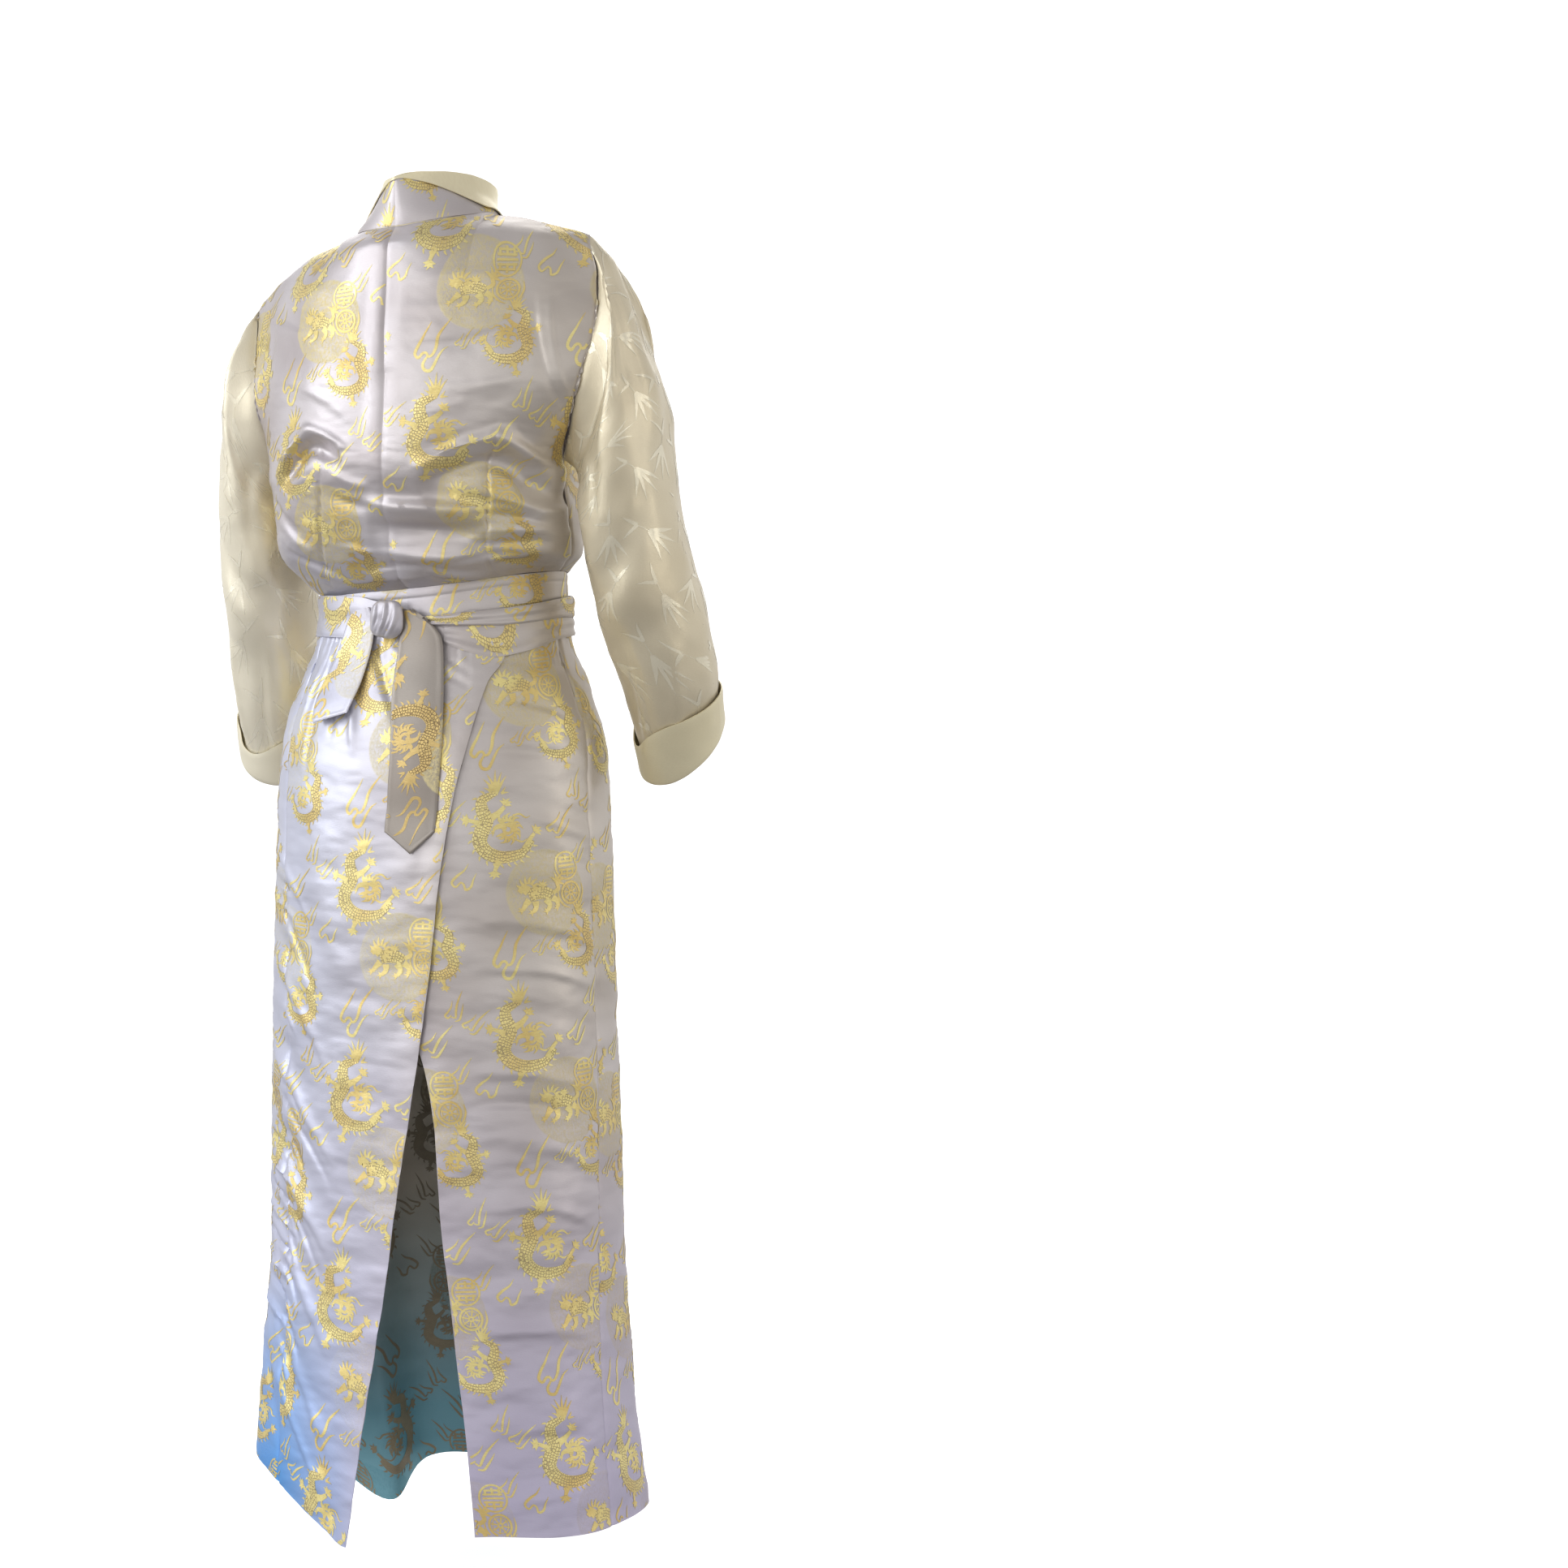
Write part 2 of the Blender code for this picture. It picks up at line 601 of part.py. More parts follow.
def over_layer(angle, z):
    """How far the overlapping back lies above the panel under it, and how its free edge lifts."""
    edge, under = OVER_EDGE.column("angle", z), UNDER_EDGE.column("angle", z)
    covered = step(min(under, edge) - 22, min(under, edge) - 8, angle)
    lift = step(edge - 8, edge, angle) * step(0.45, 0.60, -z)
    return OVER_LAYER * covered + FREE_EDGE_LIFT * lift


def edge_of(table):
    return lambda z: table.column("angle", z)


def skirt():
    over, under, left, right = map(edge_of, (OVER_EDGE, UNDER_EDGE, LEFT_SEAM, RIGHT_SEAM))
    skirt_panel("skirt_back_left", left, over, 12, over_layer)
    skirt_panel("skirt_back_right", under, right, 14)
    skirt_panel("skirt_front", right, lambda z: left(z) + 360, 20)


def neck_point(angle, level):
    """A place on the stand collar or, at level 0, on the neck seam."""
    section = COLLAR.at(level)
    s, c = math.sin(math.radians(angle)), math.cos(math.radians(angle))
    depth = section.back if c > 0 else section.front
    sharp = section.point if c > 0 else 1.0
    seam, top = COLLAR_HEIGHTS.column("seam", angle), COLLAR_HEIGHTS.column("top", angle)
    return Vector(
        (
            -section.half * power(s, sharp),
            section.centre_y + depth * power(c, sharp),
            seam + (top - seam) * level,
        )
    )


def shoulder_point(side, along):
    """A place on the shoulder seam, from the neck at 0 to the tip at 1."""
    sign = 1 if side == "left" else -1
    point = neck_point(-sign * NECK_SIDE, 0).lerp(SHOULDER_TIP[side], along)
    point.z += SHOULDER_CROWN[side] * 4 * along * (1 - along)
    return point


def level_place(table, side, turn, up):
    """A place on a level section of the bodice: turn goes from 0 at the middle to 90 at its own side."""
    row = table.at(up)
    edge_side = side if turn >= 0 else {"left": "right", "right": "left"}[side]
    edge_x, edge_y, edge_z = (getattr(row, f"{edge_side}_{axis}") for axis in "xyz")
    share = abs(math.sin(math.radians(turn))) ** ROUNDNESS
    x = row.mid_x + (edge_x - row.mid_x) * share
    y = edge_y + (row.mid_y - edge_y) * max(math.cos(math.radians(turn)), 0) ** row.soft
    return Vector((x, y, row.mid_z + (edge_z - row.mid_z) * share**1.5))


def level_point(table, side, turn, up):
    """The same place once the cloth has settled on the waistband, with the folds of the back."""
    plain = level_place(table, side, turn, up)
    place = plain.copy()
    if up < SETTLE:
        sign = 1 if side == "left" else -1
        angle = -sign * turn if table is BACK else 180 + sign * turn
        band = skirt_point(angle, WAISTBAND_TOP.column("z", turned(angle)))
        place += (band - level_place(table, side, turn, 0)) * (1 - up / SETTLE) ** 2
    if table is BACK:
        place.y += folds_at(BODICE_FOLDS, plain.x, plain.z) * min(up / 0.08, 1) * step(90, 70, turn)
    return place


def crowned_point(table, side, turn, up, top):
    """A place on the bodice, which rounds over from its highest section to a point of its top edge."""
    highest = table.keys[-1]
    if up <= highest:
        return level_point(table, side, turn, up)
    below, at_highest = (level_point(table, side, turn, key) for key in table.keys[-2:])
    outwards = Vector((0, 1 if table is BACK else -1, 1)).normalized()
    halfway = at_highest.lerp(top, 0.5) + outwards * ((top - at_highest).length * SHOULDER_ROUNDING)
    keys = [table.keys[-2], highest, (highest + 1) / 2, 1]
    return smooth(keys, [below, at_highest, halfway, top], up)


def back_point(side, u, up):
    """A place on a back: u goes from the centre back seam at 0 to the side at 1."""
    sign = 1 if side == "left" else -1
    if u <= NECK_SHARE:
        top = neck_point(-sign * NECK_SIDE * u / NECK_SHARE, 0)
    else:
        top = shoulder_point(side, (u - NECK_SHARE) / (1 - NECK_SHARE))
    return crowned_point(BACK, side, 90 * u, up, top)


def front_free_edge(side, up):
    """The free edge of a front above the crossing: up to the collar's end and then along the neck seam."""
    sign = 1 if side == "left" else -1
    end = bodice_levels()[NECK_STEPS]
    if up < end:
        place = FRONT_EDGE.at((up - UNDERARM) / (end - UNDERARM))
        return Vector((sign * place.x, place.y, place.z))
    return neck_point(-sign * (COLLAR_END + (NECK_SIDE - COLLAR_END) * (up - end) / (1 - end)), 0)


def front_point(side, u, up):
    """A place on a front: u goes from its free edge at 0 to the side at 1. The left one lies on top."""
    first = FRONT_START.column("turn", up)

    def plain(u):
        return crowned_point(FRONT, side, first + (90 - first) * u, up, shoulder_point(side, u))

    place = plain(u)
    if up > UNDERARM:
        place += (front_free_edge(side, up) - plain(0)) * (1 - u) ** 2
    if side == "left":
        covering = step(0.76, 0.60, u) * step(0.74, 0.60, up)
        place += Vector((place.x, place.y + 0.02, 0)).normalized() * (FRONT_LAYER * covering)
    return place


def bodice_levels():
    """The heights of the bodice's rows, at each of which the armhole meets a column of the sleeve."""
    return [*(armhole_level(k / ARMHOLE_STEPS) for k in range(ARMHOLE_STEPS + 1)), *BELOW_ARMHOLE]


def armhole_level(share):
    """The height of a place on the armhole, from the shoulder tip at 0 to the underarm at 1."""
    return 1 - (1 - UNDERARM) * ((1 - math.cos(math.pi * share)) / 4 + share / 2)


def bodice(side):
    neck = steps(0, NECK_SHARE, NECK_COLUMNS)
    shoulder = steps(NECK_SHARE, 1, SHOULDER_COLUMNS)
    back_columns, front_columns = neck + shoulder[1:], steps(0, 1, SHOULDER_COLUMNS)
    if side == "left":
        back_columns.reverse()
    else:
        front_columns.reverse()
    back = [[back_point(side, u, up) for u in back_columns] for up in bodice_levels()]
    front = [[front_point(side, u, up) for u in front_columns] for up in bodice_levels()]
    cloth(f"bodice_back_{side}", back, "brocade")
    cloth(f"bodice_front_{side}", front, "brocade")


SLEEVE_CREASES = {side: scaled(folds, 1, RING_SCALE) for side, folds in SLEEVE_FOLDS.items()}


def armhole_point(side, turn):
    """A place on the armhole: from 0 at the shoulder tip by the back to 0.5 under the arm, then the front."""
    up = armhole_level(min(turn, 1 - turn) * 2)
    return back_point(side, 1, up) if turn <= 0.5 else front_point(side, 1, up)


def ring_point(row, turn, out=0.0):
    """A place on a ring of a sleeve's table."""
    around, lean = math.cos(2 * math.pi * turn), math.sin(2 * math.pi * turn)
    middle = Vector(((row.out_x + row.in_x) / 2, row.y, (row.out_z + row.in_z) / 2))
    reach = Vector(((row.out_x - row.in_x) / 2, 0, (row.out_z - row.in_z) / 2))
    deep = Vector((0, row.depth, -row.drop))
    middle.x += math.copysign(row.bow, row.out_x) * lean**2
    return middle + (reach + reach.normalized() * out) * around + (deep + deep.normalized() * out) * lean


def sleeve_point(side, turn, ring, out=0.0):
    """A place on a sleeve: ring 0 is the armhole, 11 the end, and turn goes from outside by the back."""
    table = SLEEVES[side]
    sign = 1 if side == "left" else -1
    turn %= 1
    places = [armhole_point(side, turn), *(ring_point(table.at(key), turn, out) for key in table.keys)]
    point = smooth([0, *table.keys], places, ring)
    around, lean = math.cos(2 * math.pi * turn), math.sin(2 * math.pi * turn)
    bulge = folds_at(SLEEVE_CREASES[side], (turn + 0.5) % 1 - 0.5, ring * RING_SCALE) * min(ring, 1)
    return point + Vector((sign * around, lean, 0)) * bulge


def sleeve_turns(side):
    sign = 1 if side == "left" else -1
    return [sign * k / SLEEVE_COLUMNS for k in range(SLEEVE_COLUMNS)]


def sleeve(side):
    rings = [0, 0.5, *range(1, 12)]
    grid = [[sleeve_point(side, turn, ring) for turn in sleeve_turns(side)] for ring in rings]
    cloth(f"sleeve_{side}", grid, "satin", ring=True)


def cuff(side):
    """The sleeve's end turned back: rows run from the sleeve's end round the fold and up over the outside."""
    last = SLEEVES[side].keys[-1]
    rows = []
    for place in CUFF_PROFILE:
        row = []
        for turn in sleeve_turns(side):
            ahead = (sleeve_point(side, turn, last) - sleeve_point(side, turn, last - 0.5)).normalized()
            row.append(sleeve_point(side, turn, last, place["out"]) + ahead * place["along"])
        rows.append(row)
    for share in (0.5, 1.0):
        row = []
        for turn in sleeve_turns(side):
            away = turned(360 * (turn % 1 - CUFF_NOTCH[side])) / CUFF_NOTCH_WIDTH
            rise = share * CUFF_RINGS[side] * (1 - CUFF_NOTCH_DEPTH * math.exp(-(away**2)))
            row.append(sleeve_point(side, turn, last - rise, CUFF_PROFILE[-1]["out"] + CUFF_FLARE * share))
        rows.append(row)
    cloth(f"cuff_{side}", rows, "facing", ring=True)


def collar_angles():
    """The angles of the collar's columns, each at a column or row of the bodice."""
    levels = bodice_levels()[: NECK_STEPS + 1]
    end = levels[-1]
    front = [COLLAR_END + (NECK_SIDE - COLLAR_END) * (up - end) / (1 - end) for up in levels]
    return steps(0, NECK_SIDE, NECK_COLUMNS) + front[1:]


def collar():
    """Both halves of the stand collar, and the cream facings that line them and turn out over the top."""
    right = collar_angles()
    angles = [-angle for angle in reversed(right[1:])] + right
    stand = [[neck_point(angle, level) for angle in angles] for level in steps(1, 0, COLLAR_ROWS)]
    middle = len(angles) // 2
    halves = {"left": slice(0, middle + 1), "right": slice(middle, None)}
    profile = facing_rows(angles)
    for side, half in halves.items():
        cloth(f"collar_{side}", [row[half] for row in stand], "brocade")
        cloth(f"collar_facing_{side}", [row[half] for row in profile], "facing")


def facing_rows(angles):
    """The rows of the facing, from the foot of the inside over the top edge and down over the outside."""

    def outwards(angle, level):
        around = neck_point(angle + 1, level) - neck_point(angle - 1, level)
        rising = neck_point(angle, level) - neck_point(angle, level - 0.05)
        return around.cross(rising).normalized()

    inside, outside, over = -(2 * WALL + FACING_GAP), WALL + FACING_GAP, WALL + FACING_GAP
    places = [(level, inside, 0) for level in (0.08, 0.25, 0.5, 0.75, 1.0)]
    places += [(1.0, inside * 0.6, over), (1.0, outside * 0.5, over)]
    rows = [
        [neck_point(angle, level) + outwards(angle, level) * out + Vector((0, 0, rise)) for angle in angles]
        for level, out, rise in places
    ]
    for share in (0.08, 0.4, 0.7, 1.0):
        row = []
        for angle in angles:
            height = COLLAR_HEIGHTS.column("top", angle) - COLLAR_HEIGHTS.column("seam", angle)
            level = 1 - share * min(TURNED_FACING.column("width", abs(angle)) / height, 0.9)
            lifted = outside + FACING_LIFT * share * (1 - level)
            row.append(neck_point(angle, level) + outwards(angle, level) * lifted)
        rows.append(row)
    return rows


def belt(name, table, out, rows):
    """A winding of the belt round the waist, which lies over the skirt's overlap at the back."""
    first, last = table.keys[0], table.keys[-1]
    grid = []
    for share in steps(0, 1, rows):
        row = []
        for angle in steps(first, last, round((last - first) / BELT_STEP)):
            top, low = table.column("top", angle), table.column("low", angle)
            z = top + (low - top) * share
            row.append(skirt_point(angle, z, out + over_layer(turned(angle), -0.43)))
        grid.append(row)
    cloth(name, grid, "brocade")


def waistband():
    angles = [WAISTBAND_STEP * k for k in range(round(360 / WAISTBAND_STEP))]
    grid = []
    for share in (0, 0.5, 1):
        heights = [WAISTBAND_TOP.column("z", turned(angle)) - WAISTBAND_HEIGHT * share for angle in angles]
        grid.append([skirt_point(angle, z) for angle, z in zip(angles, heights)])
    cloth("waistband", grid, "brocade", ring=True)


def belt_tail(name, table):
    grid = []
    for row in table:
        (left_angle, left_z), (right_angle, right_z) = row["left"], row["right"]
        points = []
        for u in steps(0, 1, TAIL_COLUMNS):
            z = left_z + (right_z - left_z) * u - row["point"] * (1 - abs(2 * u - 1))
            points.append(skirt_point(left_angle + (right_angle - left_angle) * u, z, row["out"]))
        grid.append(points)
    cloth(name, grid, "brocade", wall=TAIL_WALL)


def knot():
    """The belt's knot: a round lump of gathered cloth whose grooves run round it."""
    shell = bmesh.new()
    bmesh.ops.create_uvsphere(shell, u_segments=KNOT_SEGMENTS, v_segments=KNOT_SEGMENTS // 2, radius=1)
    middle = skirt_point(KNOT["angle"], KNOT["z"], KNOT["out"])
    size = Vector((KNOT["half_across"], KNOT["half_out"], KNOT["half_up"]))
    for vert in shell.verts:
        turn = math.atan2(vert.co.y, vert.co.x)
        groove = 1 - KNOT_GROOVE_DEPTH * (1 - abs(vert.co.z)) * math.cos(KNOT_GROOVES * turn + 2 * vert.co.z)
        vert.co = middle + vert.co * size * groove
    finished("belt_knot", shell, "brocade")


for old in list(bpy.data.objects):
    bpy.data.objects.remove(old)
for body_side in ("left", "right"):
    bodice(body_side)
    sleeve(body_side)
    cuff(body_side)
collar()
waistband()
belt("belt_upper", UPPER_BELT, UPPER_BELT_OUT, 2)
belt("belt_lower", LOWER_BELT, LOWER_BELT_OUT, 2)
belt_tail("belt_tail_short", SHORT_TAIL)
belt_tail("belt_tail_long", LONG_TAIL)
skirt()
sew()
knot()
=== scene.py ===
"""The look of a worn chuba dress: lilac silk brocade with gold figures, cream satin and plain cream silk.

Metres, +Z up, the front faces -Y and the wearer's left is +X. Angles go round the body in degrees, from 0
at the centre back through 90 at the wearer's right side to 180 at the front. A piece of cloth is a grid of
points: its rows go down and its columns go round towards the wearer's right.
"""

import math
from bisect import bisect_right
from functools import lru_cache
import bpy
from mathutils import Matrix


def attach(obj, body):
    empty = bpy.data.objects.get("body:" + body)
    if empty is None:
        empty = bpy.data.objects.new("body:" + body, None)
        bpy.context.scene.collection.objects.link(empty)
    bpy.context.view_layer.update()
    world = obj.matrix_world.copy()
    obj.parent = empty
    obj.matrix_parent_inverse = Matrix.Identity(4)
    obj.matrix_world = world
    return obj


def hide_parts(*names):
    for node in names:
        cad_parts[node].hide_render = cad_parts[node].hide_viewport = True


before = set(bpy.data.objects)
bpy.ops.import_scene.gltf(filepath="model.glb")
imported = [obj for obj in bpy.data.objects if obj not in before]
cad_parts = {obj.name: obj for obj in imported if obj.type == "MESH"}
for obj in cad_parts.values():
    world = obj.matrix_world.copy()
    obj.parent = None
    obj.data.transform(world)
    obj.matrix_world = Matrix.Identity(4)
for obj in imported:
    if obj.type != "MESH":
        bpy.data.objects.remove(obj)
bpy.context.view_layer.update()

from types import SimpleNamespace

import bpy
import numpy as np
from mathutils import Vector, noise

# The studio
# A plain pale floor and backdrop, a soft dome of light with four broad lamps, and a long lens behind the
# wearer's right shoulder.
VIEW_AZIMUTH = math.radians(205)
VIEW_DISTANCE = 4.2
VIEW_HEIGHT = -0.36
TURN_ASIDE = math.radians(5.370)
LOOK_DOWN = math.radians(3.201)
LENS_MM = 86.96
SENSOR_MM = 36
FLOOR_HEIGHT = -1.475
FLOOR_SIZE = 40
BACKDROP_RADIUS = 14
LAMP_AIM = Vector((0, 0, -0.6))
LAMPS = (
    dict(azimuth=128, distance=2.6, height=0.9, size=(1.4, 2.8), watts=37, color=(0.93, 0.965, 1.0)),
    dict(azimuth=160, distance=3.2, height=0.3, size=(1.2, 2.4), watts=15, color=(1.0, 1.0, 1.0)),
    dict(azimuth=276, distance=2.4, height=0.2, size=(0.5, 2.6), watts=6, color=(1.0, 0.94, 0.84)),
    dict(azimuth=20, distance=2.8, height=1.4, size=(2.4, 2.4), watts=36, color=(1.0, 0.99, 0.97)),
)
# The dome's tones, from straight below at 0 to straight above at 1
DOME = (
    dict(height=0.24, color=(0.26, 0.25, 0.25, 1)),
    dict(height=0.54, color=(0.98, 0.965, 0.94, 1)),
    dict(height=0.85, color=(0.38, 0.37, 0.38, 1)),
)


def round_the_dress(azimuth, distance, height):
    return Vector((math.sin(azimuth) * distance, -math.cos(azimuth) * distance, height))


def studio_paint(name, color, roughness, glow=0.0):
    paint = bpy.data.materials.new(name)
    paint.use_nodes = True
    shader = paint.node_tree.nodes["Principled BSDF"]
    shader.inputs["Base Color"].default_value = color
    shader.inputs["Roughness"].default_value = roughness
    shader.inputs["Emission Color"].default_value = color
    shader.inputs["Emission Strength"].default_value = glow
    return paint


bpy.ops.object.camera_add(
    location=round_the_dress(VIEW_AZIMUTH, VIEW_DISTANCE, VIEW_HEIGHT),
    rotation=(math.pi / 2 - LOOK_DOWN, 0, VIEW_AZIMUTH - TURN_ASIDE),
)
camera = bpy.context.object
camera.data.lens = LENS_MM
camera.data.sensor_width = SENSOR_MM
bpy.context.scene.camera = camera
bpy.context.scene.view_settings.view_transform = "Standard"
for lamp in LAMPS:
    place = round_the_dress(math.radians(lamp["azimuth"]), lamp["distance"], lamp["height"])
    bpy.ops.object.light_add(type="AREA", location=place)
    light = bpy.context.object
    light.rotation_euler = (place - LAMP_AIM).to_track_quat("Z", "Y").to_euler()
    light.data.shape = "RECTANGLE"
    light.data.size, light.data.size_y = lamp["size"]
    light.data.energy = lamp["watts"]
    light.data.color = lamp["color"]
world = bpy.data.worlds.new("studio")
bpy.context.scene.world = world
world.use_nodes = True
sky = world.node_tree.nodes["Background"]
direction = world.node_tree.nodes.new("ShaderNodeTexCoord")
height = world.node_tree.nodes.new("ShaderNodeSeparateXYZ")
dome = world.node_tree.nodes.new("ShaderNodeValToRGB")
stops = dome.color_ramp.elements
for number, tone in enumerate(DOME):
    stop = stops[number] if number < len(stops) else stops.new(tone["height"])
    stop.position, stop.color = tone["height"], tone["color"]
half = world.node_tree.nodes.new("ShaderNodeMath")
half.operation = "MULTIPLY_ADD"
half.inputs[1].default_value = half.inputs[2].default_value = 0.5
world.node_tree.links.new(direction.outputs["Generated"], height.inputs[0])
world.node_tree.links.new(height.outputs["Z"], half.inputs[0])
world.node_tree.links.new(half.outputs[0], dome.inputs[0])
world.node_tree.links.new(dome.outputs[0], sky.inputs["Color"])
bpy.ops.object.select_all(action="DESELECT")
bpy.ops.mesh.primitive_plane_add(size=FLOOR_SIZE, location=(0, 0, FLOOR_HEIGHT))
floor = bpy.context.object
floor.name = "floor"
floor.data.materials.append(studio_paint("pale_floor", (0.90, 0.90, 0.90, 1), 0.9, 0.88))
floor.visible_diffuse = floor.visible_glossy = False
bpy.ops.mesh.primitive_uv_sphere_add(segments=48, ring_count=24, radius=BACKDROP_RADIUS)
backdrop = bpy.context.object
backdrop.name = "backdrop"
backdrop.data.materials.append(studio_paint("white_backdrop", (0.93, 0.93, 0.93, 1), 1.0, 1.0))
backdrop.visible_diffuse = backdrop.visible_glossy = backdrop.visible_shadow = False


# Silk brocade
# Lilac satin shot with grey, woven with gold figures and with faint round grounds of mottled gold. Its back
# is duller and browner, with painted cold light on it near the hem. Colours are linear.
REPEAT_WIDTH = 0.165
REPEAT_HEIGHT = 0.228
ROUND_GROUND = dict(across=0.052, down=0.163, radius=0.048)
LILAC = (0.665, 0.63, 0.655, 1)
LILAC_SHADE = (0.50, 0.455, 0.465, 1)
GROUND_GOLD = (0.68, 0.57, 0.30, 1)
ROUND_PALE = (0.66, 0.57, 0.31, 1)
TAIL_GROUND = (0.37, 0.335, 0.30, 1)
TAIL_SHADE = (0.29, 0.255, 0.225, 1)
BACK_GROUND = (0.74, 0.68, 0.56, 1)
BACK_SHADE = (0.58, 0.52, 0.42, 1)
BACK_GOLD = (0.50, 0.44, 0.30, 1)
GOLD = (1.0, 0.90, 0.40, 1)
GOLD_SHADE = (0.70, 0.49, 0.17, 1)
BROWN_GOLD = (0.72, 0.54, 0.22, 1)
BROWN_SHADE = (0.48, 0.34, 0.13, 1)
DULL_GOLD = (0.42, 0.35, 0.22, 1)
DULL_SHADE = (0.30, 0.25, 0.17, 1)
SCALE_LINE = (0.40, 0.32, 0.20, 1)
DARK_SCALE_LINE = (0.16, 0.11, 0.06, 1)
SCALE_SIZE = 0.0031
VIOLET = (0.52, 0.49, 0.70, 1)
PALE_BLUE = (0.66, 0.72, 0.93, 1)
COLD_LIGHT = (0.10, 0.40, 0.92, 1)
COLD_BACK = (0.20, 0.50, 0.62, 1)
WARM_SHADE = (0.66, 0.60, 0.47, 1)
# Painted light and shade over the dress: cold light low down, light on the lit left, warm shade on the right
# and cold light on the lower left towards the back. A tint begins at each axis's first number and is full at
# its second
PAINTED_LIGHT_OUTSIDE = (
    dict(color=VIOLET, strength=0.75, up=(-0.80, -1.36)),
    dict(color=PALE_BLUE, strength=0.6, left=(-0.06, 0.12), up=(-0.30, -0.44)),
    dict(color=WARM_SHADE, strength=0.45, left=(0.00, -0.17), up=(-1.25, -0.75)),
    dict(color=COLD_LIGHT, strength=0.95, left=(0.02, 0.14), behind=(-0.15, -0.05), up=(-1.12, -1.36)),
)
# Painted cold light on the inside of the skirt near the hem
PAINTED_LIGHT_INSIDE = (dict(color=COLD_BACK, strength=0.9, up=(-1.07, -1.34)),)


class Value:
    """A number or colour that changes over a surface. Arithmetic on it adds Math nodes."""

    def __init__(self, finish, socket):
        self.finish, self.socket = finish, socket

    def maths(self, operation, *others, clamp=False):
        settings = dict(operation=operation, use_clamp=clamp)
        return self.finish.node("ShaderNodeMath", settings, dict(enumerate((self, *others))))

    def __add__(self, other):
        return self.maths("ADD", other)

    def __sub__(self, other):
        return self.maths("SUBTRACT", other)

    def __rsub__(self, other):
        return self.maths("MULTIPLY", -1) + other

    def __mul__(self, other):
        return self.maths("MULTIPLY", other)

    def __truediv__(self, other):
        return self.maths("DIVIDE", other)

    __radd__ = __add__
    __rmul__ = __mul__

    def between(self, low, high):
        """0 up to low, 1 from high, with a straight ramp between."""
        return self.maths("MULTIPLY_ADD", 1 / (high - low), -low / (high - low), clamp=True)


class Finish:
    """A material: constant values sit on its shader, and what varies is wired to it."""

    def __init__(self, name, **constants):
        self.material = bpy.data.materials.new(name)
        self.material.use_nodes = True
        self.tree = self.material.node_tree
        self.shader = self.tree.nodes["Principled BSDF"]
        self.wire(self.shader, {key.replace("_", " "): value for key, value in constants.items()})

    def wire(self, node, sockets):
        for name, value in sockets.items():
            if isinstance(value, Value):
                self.tree.links.new(value.socket, node.inputs[name])
            else:
                node.inputs[name].default_value = value

    def node(self, kind, settings, sockets, output=0):
        made = self.tree.nodes.new(kind)
        for setting, value in settings.items():
            setattr(made, setting, value)
        self.wire(made, sockets)
        return Value(self, made.outputs[output])

    def mix(self, share, first, second):
        return self.node("ShaderNodeMix", dict(data_type="RGBA"), {0: share, 6: first, 7: second}, output=2)

    def on_cloth(self, across=1.0, down=1.0):
        """A place on the flat cut, stretched across and down the cloth."""
        place = self.node("ShaderNodeUVMap", dict(uv_map="Cloth"), {})
        return self.node("ShaderNodeMapping", {}, {"Vector": place, "Scale": (across, down, 1)})

    def axes(self, place):
        """The three numbers of a place."""
        split = self.node("ShaderNodeSeparateXYZ", {}, {0: place}).socket.node
        return [Value(self, axis) for axis in split.outputs]

    def on_dress(self):
        """How far to the wearer's left, behind and up a place lies."""
        return self.axes(self.node("ShaderNodeTexCoord", {}, {}, output=3))

    def cloud(self, place, scale, detail=2.0, roughness=0.5):
        sockets = {"Vector": place, "Scale": scale, "Detail": detail, "Roughness": roughness}
        return self.node("ShaderNodeTexNoise", {}, sockets)

    def bump(self, height, strength, distance):
        sockets = {"Height": height, "Strength": strength, "Distance": distance}
        return self.node("ShaderNodeBump", {}, sockets)


